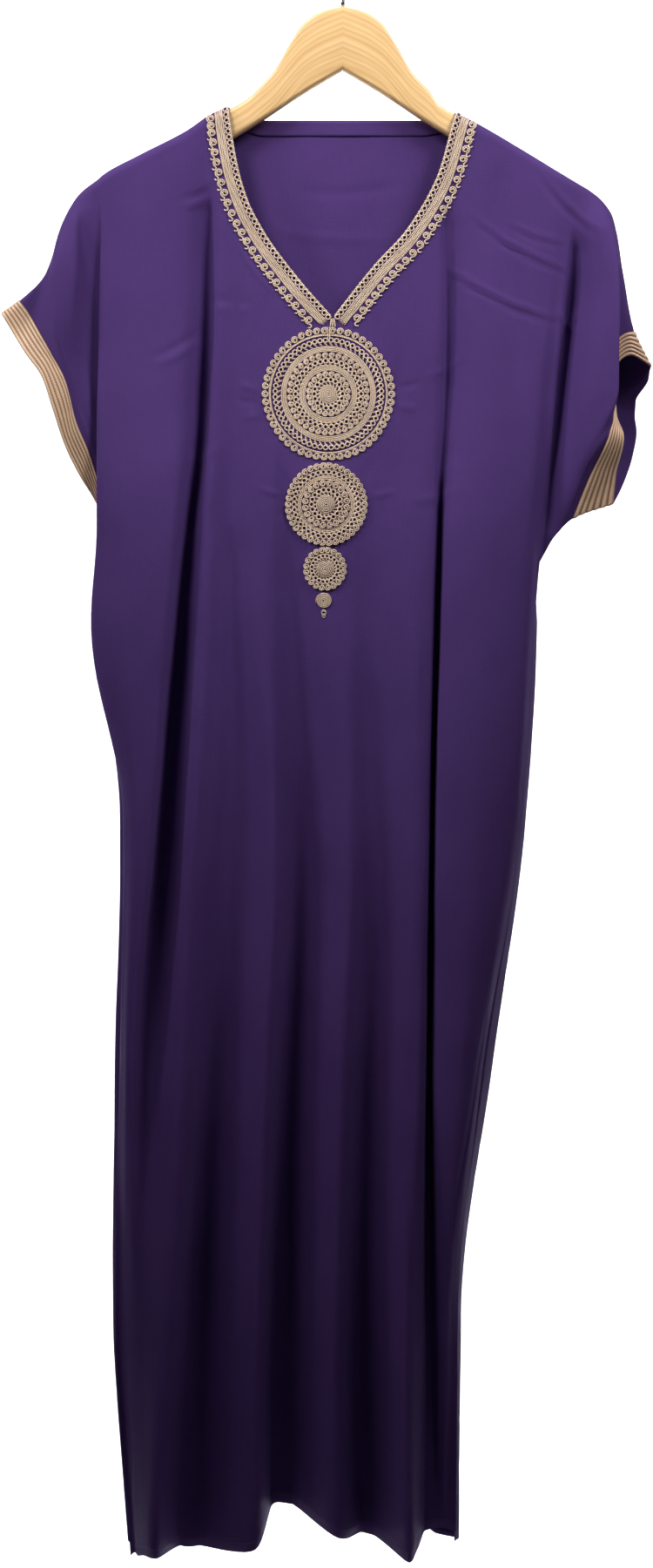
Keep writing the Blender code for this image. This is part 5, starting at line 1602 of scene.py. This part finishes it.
def hem_fold(cloth, material, name):
    """The narrow hem, turned to the inside."""
    grid = cloth.lower
    normals = grid_normals(grid, cloth.side)
    columns = range(2, grid.shape[1] - 2)
    verts, flats = [], []
    for inside in (HEM_INNER, HEM_INNER + HEM_CLOTH):
        for share in HEM_SHARES:
            rows = rows_above_hem(grid, share * HEM_DEPTH)
            for k in columns:
                way = normals[min(int(rows[k]), len(grid) - 2), k]
                verts.append(tuple(between(grid, rows[k], k) - way * (SHELL / 2.0 + inside)))
                flats.append((k * HEM_COLUMN, share * HEM_DEPTH))
    return new_slab(name, len(HEM_SHARES), len(columns), verts, material, flats)


# ---------------------------------------------------------------- hanger

def arm_outline(at_right):
    """Top and bottom height of a hanger arm along x, from the mitre to the rounded end."""
    end = ARM_END_RIGHT if at_right else ARM_END
    sign = 1.0 if at_right else -1.0
    top, bottom = drop_curve(NECK_ARM_TOP), drop_curve(ARM_BOTTOM)
    places = list(np.linspace(MITRE_GAP / 2.0, ARM_NECK, NECK_STATIONS + 1))
    for k in range(ARM_STATIONS + 1):
        share = 1.0 - (1.0 - k / ARM_STATIONS) ** ARM_CROWDING
        places.append(mix(ARM_LEAVES, end, share))
    stations = []
    for x in places:
        blend = ease((x - ARM_MEETS) / (ARM_LEAVES - ARM_MEETS))
        high = mix(top(min(x, ARM_NECK)), SHOULDER(sign * x) - ARM_SINK, blend)
        low = bottom(x)
        near_end = (x - (end - ARM_TIP)) / ARM_TIP
        if near_end > 0.0:
            middle = (high + low) / 2.0
            shrink = math.sqrt(max(1.0 - near_end * near_end, TIP_LEAST))
            low = middle + (low - middle) * shrink
            high = high - (1.0 - shrink) * TIP_DROP
        stations.append((sign * x, high, low))
    return stations


def arm_section(x, high, low):
    """Rounded rectangle of the arm's wood in a slice across it."""
    half = ARM_THICK / 2.0
    r = min(ARM_ROUND, (high - low) / 3.0)
    points = []
    for cy, cz, start in ((half - r, high - r, 0), (-(half - r), high - r, 90),
                          (-(half - r), low + r, 180), (half - r, low + r, 270)):
        for step in range(ROUND_STEPS + 1):
            angle = math.radians(start + 90 * step / ROUND_STEPS)
            points.append((x, cy + r * math.cos(angle), cz + r * math.sin(angle)))
    return points


def make_arm(at_right, name, material):
    """One arm of the hanger, its grain running along it."""
    stations = arm_outline(at_right)
    sections = [arm_section(*station) for station in stations]
    run = run_of([(x, high + low) for x, high, low in stations]) * GRAIN_ALONG
    flats = []
    for length, (_x, high, low), section in zip(run, stations, sections):
        middle = (high + low) / 2.0
        flats += [(length, z - middle + y * GRAIN_THROUGH) for _x, y, z in section]
    obj = new_loft(name, sections, material, flats)
    edges = obj.modifiers.new("caps", "EDGE_SPLIT")
    edges.split_angle = SHARP
    return obj


def make_hook(material):
    """Wire hook: a straight foot in the wood, a short swan neck, the bend and a ball at its end."""
    radius = HOOK_RADIUS + HOOK_WIRE
    below = -HOOK_RADIUS - radius
    points = [(0.0, 0.0, -HOOK_SEAT + rise * MM) for rise in HOOK_RISES]
    points += [(x * MM, 0.0, below + height * MM) for x, height in SWAN_NECK]
    for k in range(HOOK_STEPS + 1):
        angle = math.radians(HOOK_START + HOOK_SWEEP * k / HOOK_STEPS)
        points.append((radius * math.cos(angle), 0.0, radius * math.sin(angle) - HOOK_RADIUS))
    points = np.array(points)
    bunch = Bunch()
    bunch.tube(points, np.tile((0.0, -1.0, 0.0), (len(points), 1)), HOOK_WIRE, WIRE_SIDES)
    hook = bunch.build("hanger_hook_wire", material)
    form = bmesh.new()
    bmesh.ops.create_uvsphere(form, u_segments=WIRE_SIDES, v_segments=BALL_RINGS,
                              radius=HOOK_WIRE)
    bmesh.ops.translate(form, verts=form.verts, vec=Vector(points[-1]))
    form.from_mesh(hook.data)
    form.to_mesh(hook.data)
    form.free()
    hook.data.polygons.foreach_set("use_smooth", [True] * len(hook.data.polygons))
    return hook


# ---------------------------------------------------------------- materials

class Nodes:
    """Short names for building a material's node tree."""

    def __init__(self, name):
        self.material = bpy.data.materials.new(name)
        self.material.use_nodes = True
        self.tree = self.material.node_tree
        self.shader = self.tree.nodes["Principled BSDF"]

    def add(self, kind, **values):
        """New node with its settings."""
        node = self.tree.nodes.new(kind)
        for key, value in values.items():
            setattr(node, key, value)
        return node

    def link(self, a, b):
        self.tree.links.new(a, b)

    def stretched(self, where, scale):
        """Coordinates scaled on each axis."""
        stretch = self.add("ShaderNodeMapping")
        stretch.inputs["Scale"].default_value = scale
        self.link(where, stretch.inputs["Vector"])
        return stretch.outputs["Vector"]

    def flat(self, across, down):
        """Flat cloth or wood coordinates, scaled on each axis."""
        where = self.add("ShaderNodeUVMap", uv_map="flat")
        return self.stretched(where.outputs["UV"], (across, down, 1.0))

    def place(self, scale=(1.0, 1.0, 1.0)):
        """Place on the part, scaled on each axis."""
        where = self.add("ShaderNodeTexCoord")
        return self.stretched(where.outputs["Object"], scale)

    def flat_parts(self):
        """The two flat coordinates on their own."""
        where = self.add("ShaderNodeUVMap", uv_map="flat")
        parts = self.add("ShaderNodeSeparateXYZ")
        self.link(where.outputs["UV"], parts.inputs["Vector"])
        return parts.outputs["X"], parts.outputs["Y"]

    def noise(self, vector, scale, detail, rough=0.55):
        node = self.add("ShaderNodeTexNoise")
        node.inputs["Scale"].default_value = scale
        node.inputs["Detail"].default_value = detail
        node.inputs["Roughness"].default_value = rough
        self.link(vector, node.inputs["Vector"])
        return node.outputs["Fac"]

    def rings(self, vector, distortion, detail):
        node = self.add("ShaderNodeTexWave", bands_direction="Y")
        node.inputs["Scale"].default_value = 1.0
        node.inputs["Distortion"].default_value = distortion
        node.inputs["Detail"].default_value = detail
        self.link(vector, node.inputs["Vector"])
        return node.outputs["Fac"]

    def maths(self, operation, a, b=0.0):
        """Result of a sum on numbers or other nodes' values."""
        node = self.add("ShaderNodeMath", operation=operation)
        for socket, value in zip(node.inputs, (a, b)):
            if isinstance(value, (int, float)):
                socket.default_value = value
            else:
                self.link(value, socket)
        return node.outputs["Value"]

    def blend(self, *parts):
        """Sum of (value, weight) pairs."""
        total = None
        for value, weight in parts:
            part = self.maths("MULTIPLY", value, weight)
            total = part if total is None else self.maths("ADD", total, part)
        return total

    def ply_bump_and_shade(self, slant):
        """Rounded threads side by side, one to each whole step of the slant, from 0 to 1; used for
        bump and for painted shade in the grooves.
        """
        wave = self.maths("SINE", self.maths("MULTIPLY", slant, math.tau))
        return self.maths("ADD", self.maths("MULTIPLY", wave, 0.5), 0.5)

    def colour(self, value, *stops):
        """Base colour that follows a value, through (place, colour) stops."""
        node = self.add("ShaderNodeValToRGB")
        ramp = node.color_ramp
        while len(ramp.elements) < len(stops):
            ramp.elements.new(0.5)
        for element, (place, colour) in zip(ramp.elements, stops):
            element.position = place
            element.color = (*colour, 1.0)
        self.link(value, node.inputs["Fac"])
        self.link(node.outputs["Color"], self.shader.inputs["Base Color"])

    def surface(self, **values):
        """Constants of the shader, by the names of its sockets with _ for a space."""
        for name, value in values.items():
            self.shader.inputs[name.replace("_", " ")].default_value = value

    def bump(self, height, strength, distance):
        node = self.add("ShaderNodeBump")
        node.inputs["Strength"].default_value = strength
        node.inputs["Distance"].default_value = distance
        self.link(height, node.inputs["Height"])
        self.link(node.outputs["Normal"], self.shader.inputs["Normal"])


def crepe_material():
    """Matte purple crepe: fine pebbled threads, a few thicker ones, faint clouding."""
    n = Nodes("crepe")
    threads_down = n.noise(n.flat(1500.0, 60.0), 1.0, 2.0)
    threads_over = n.noise(n.flat(60.0, 1300.0), 1.0, 2.0)
    pebble = n.noise(n.place(), 1400.0, 2.0)
    cloud = n.noise(n.place(), 9.0, 4.0)
    weave = n.blend((threads_down, 0.5), (threads_over, 0.35), (pebble, 0.35))
    tone = n.blend((weave, 0.55), (cloud, 0.45))
    n.colour(tone, (0.30, (0.060, 0.0265, 0.133)), (0.50, (0.072, 0.0325, 0.158)),
             (0.72, (0.087, 0.041, 0.187)))
    n.surface(Roughness=0.82, Specular_IOR_Level=0.15, Sheen_Weight=0.04, Sheen_Roughness=0.5,
              Sheen_Tint=(0.62, 0.50, 0.85, 1.0))
    n.bump(weave, 0.22, 0.0006)
    return n.material


def cord_material():
    """Twisted rayon cord: slanted plies, their colour lighter on the crests and darker in the
    grooves between them, as painted light and shade.
    """
    n = Nodes("gold_cord")
    length, turn = n.flat_parts()
    ply_bump_and_shade = n.ply_bump_and_shade(n.blend((length, 620.0), (turn, 2.0)))
    fluff = n.noise(n.place(), 900.0, 2.0)
    worn = n.noise(n.place(), 60.0, 3.0)
    tone = n.blend((ply_bump_and_shade, 0.5), (fluff, 0.25), (worn, 0.25))
    # Colour follows the plies: painted shade in their grooves, painted light on their crests; the
    # fluff and worn noise vary it at random.
    n.colour(tone, (0.18, (0.28, 0.165, 0.10)), (0.45, (0.80, 0.565, 0.395)),
             (0.80, (1.0, 0.87, 0.70)))
    n.surface(Roughness=0.48, Specular_IOR_Level=0.45, Sheen_Weight=0.15)
    n.bump(ply_bump_and_shade, 0.5, 0.0003)
    return n.material


def braid_material():
    """Flat cuff braid: plaited ribs, rose gold, lighter on the rib ridges and darker between the
    ribs as painted light and shade.
    """
    n = Nodes("cuff_braid")
    length, over = n.flat_parts()
    rib = n.maths("ABSOLUTE", n.maths("SINE", n.maths("MULTIPLY", over, math.pi)))
    ply_bump_and_shade = n.ply_bump_and_shade(n.blend((length, 420.0), (n.maths("PINGPONG", over, 0.5), 1.6)))
    worn = n.noise(n.place(), 90.0, 3.0)
    tone = n.blend((rib, 0.62), (ply_bump_and_shade, 0.2), (worn, 0.2))
    # Colour follows ribs and plies: painted light on their ridges, painted shade between them; the
    # worn noise varies it at random.
    n.colour(tone, (0.15, (0.20, 0.105, 0.062)), (0.5, (0.59, 0.355, 0.215)),
             (0.92, (0.95, 0.68, 0.48)))
    n.surface(Roughness=0.45, Metallic=0.12)
    n.bump(n.blend((ply_bump_and_shade, 0.6), (rib, 1.0)), 0.35, 0.0004)
    return n.material


def pine_material():
    """Planed pine: pale wood with long grain, soft rings and fine lines."""
    n = Nodes("pine")
    broad = n.noise(n.flat(9.0, 110.0), 1.0, 3.0, 0.6)
    lines = n.noise(n.flat(14.0, 900.0), 1.0, 4.0, 0.6)
    rings = n.rings(n.flat(1.6, 60.0), 5.0, 2.0)
    tone = n.blend((broad, 0.55), (lines, 0.32), (rings, 0.13))
    n.colour(tone, (0.22, (0.56, 0.30, 0.11)), (0.42, (0.82, 0.50, 0.21)),
             (0.60, (0.94, 0.63, 0.31)), (0.82, (0.98, 0.73, 0.42)))
    n.surface(Roughness=0.42, Coat_Weight=0.25, Coat_Roughness=0.3)
    n.bump(lines, 0.12, 0.0004)
    return n.material


def steel_material():
    """Drawn steel wire, faintly brushed."""
    n = Nodes("steel")
    brushed = n.noise(n.place((40.0, 40.0, 400.0)), 6.0, 3.0)
    n.colour(brushed, (0.3, (0.52, 0.52, 0.54)), (0.7, (0.66, 0.66, 0.68)))
    n.surface(Metallic=1.0)
    rough = n.maths("ADD", n.maths("MULTIPLY", brushed, 0.15), 0.16)
    n.link(rough, n.shader.inputs["Roughness"])
    return n.material


def plain_material(name, scale, dark, light, span, rough):
    """A colour with slight changes from place to place."""
    n = Nodes(name)
    n.colour(n.noise(n.place(), scale, 2.0), (span[0], dark), (span[1], light))
    n.surface(Roughness=rough)
    return n.material


def thread_material():
    """Purple sewing thread."""
    return plain_material("thread", 1500.0, (0.10, 0.05, 0.20), (0.17, 0.10, 0.30), (0.3, 0.7),
                          0.6)


def stage_material():
    """Near white, matte floor and wall."""
    return plain_material("stage", 0.7, (0.78, 0.78, 0.78), (0.82, 0.82, 0.82), (0.0, 1.0), 0.9)


# ---------------------------------------------------------------- studio

def make_stage(material):
    """Pale floor that curves up into a wall, far enough behind to walk round the kaftan."""
    start = WALL_PLACE - COVE_RADIUS
    profile = [(-STAGE_REACH, FLOOR), (start, FLOOR)]
    for k in range(1, COVE_STEPS + 1):
        angle = math.pi / 2 * k / COVE_STEPS
        profile.append((start + COVE_RADIUS * math.sin(angle),
                        FLOOR + COVE_RADIUS * (1.0 - math.cos(angle))))
    profile.append((WALL_PLACE, STAGE_REACH))
    verts, faces = [], []
    for y, z in profile:
        verts.append((-STAGE_REACH, y, z))
        verts.append((STAGE_REACH, y, z))
    for i in range(len(profile) - 1):
        a = 2 * i
        faces.append((a, a + 1, a + 3, a + 2))
    obj = new_mesh("floor", verts, faces, material)


def make_lights():
    """The lights of the table, a faint even world, and plain colours."""
    for spec in LIGHTS:
        data = bpy.data.lights.new(spec.name, "AREA")
        data.shape = "RECTANGLE"
        data.size, data.size_y = spec.size
        data.energy = spec.power
        data.spread = math.radians(spec.spread)
        light = bpy.data.objects.new(spec.name, data)
        light.location = spec.place
        light.visible_camera = False
        way = Vector(spec.target) - Vector(spec.place)
        light.rotation_euler = way.to_track_quat("-Z", "Y").to_euler()
        bpy.context.scene.collection.objects.link(light)
    world = bpy.data.worlds.new("studio")
    world.use_nodes = True
    background = world.node_tree.nodes["Background"]
    background.inputs["Color"].default_value = (1.0, 1.0, 1.0, 1.0)
    background.inputs["Strength"].default_value = WORLD_STRENGTH
    bpy.context.scene.world = world
    bpy.context.scene.view_settings.view_transform = "Standard"


def make_camera():
    """The camera fitted to the photo."""
    data = bpy.data.cameras.new("camera")
    data.sensor_fit = "VERTICAL"
    data.sensor_height = CAMERA_FILM
    data.lens = CAMERA_LENS
    data.dof.use_dof = False
    camera = bpy.data.objects.new("camera", data)
    camera.location = CAMERA
    camera.rotation_euler = (math.pi / 2 - CAMERA_DIP, 0.0, 0.0)
    bpy.context.scene.collection.objects.link(camera)
    bpy.context.scene.camera = camera


def join_piece(obj, nodes):
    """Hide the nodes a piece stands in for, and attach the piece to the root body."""
    if nodes:
        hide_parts(*nodes)
    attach(obj, "root")
    return obj


def make_trims(front, gold):
    """Cord work on the front."""
    relief = Relief(front, RELIEF_X, RELIEF_Z)
    trims = []
    for spec in ROSETTES:
        piece = make_rosette(spec, relief, gold)
        trims.append(join_piece(piece, [spec.name]))
    trims.append(join_piece(make_drop(relief, gold), ["drop_coil"]))
    for hand, at_right in HANDS:
        path = NeckPath(front.panel, at_right)
        for place, maker in (("braid", make_neck_braid), ("coils", make_neck_coils)):
            name = f"neck_{place}_{hand}"
            piece = maker(path, relief, gold, name + "_cords")
            trims.append(join_piece(piece, [name]))
    return trims


def make_edges(cloth, place, crepe, braid, thread):
    """Cuff bands, stitches and turned hem of the front or the back."""
    pieces = []
    for hand, at_right in HANDS:
        name = f"cuff_braid_{hand}_{place}"
        piece = make_cuff(cloth, at_right, name + "_ribs", braid)
        pieces.append(join_piece(piece, [name]))
    piece = hem_stitches(cloth, thread, f"hem_stitches_{place}")
    pieces.append(join_piece(piece, []))
    piece = hem_fold(cloth, crepe, f"hem_fold_{place}")
    pieces.append(join_piece(piece, []))
    return pieces


def make_hanger():
    """Both arms and the hook."""
    pine = pine_material()
    for hand, at_right in HANDS:
        name = f"hanger_arm_{hand}"
        join_piece(make_arm(at_right, name + "_wood", pine), [name])
    join_piece(make_hook(steel_material()), ["hanger_hook"])


def main():
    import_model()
    make_camera()
    crepe, gold = crepe_material(), cord_material()
    braid, thread = braid_material(), thread_material()

    front = Cloth(FRONT_FOLDS, FRONT_CORNERS, -1, (LEFT_FRONT, RIGHT_FRONT), FRONT_CREASES,
                  FLUTES)
    back = Cloth(BACK_FOLDS, BACK_CORNERS, 1, (LEFT_BACK, RIGHT_BACK), BACK_CREASES, ())
    front_cloth = join_piece(front.build("front_cloth", crepe), ["front_panel"])
    back_cloth = join_piece(back.build("back_cloth", crepe), ["back_panel"])
    trims = make_trims(front, gold) + make_edges(front, "front", crepe, braid, thread)
    backs = make_edges(back, "back", crepe, braid, thread)
    backs.append(join_piece(make_facing(back, crepe), ["back_neck_facing"]))
    make_hanger()

    make_stage(stage_material())
    make_lights()


main()
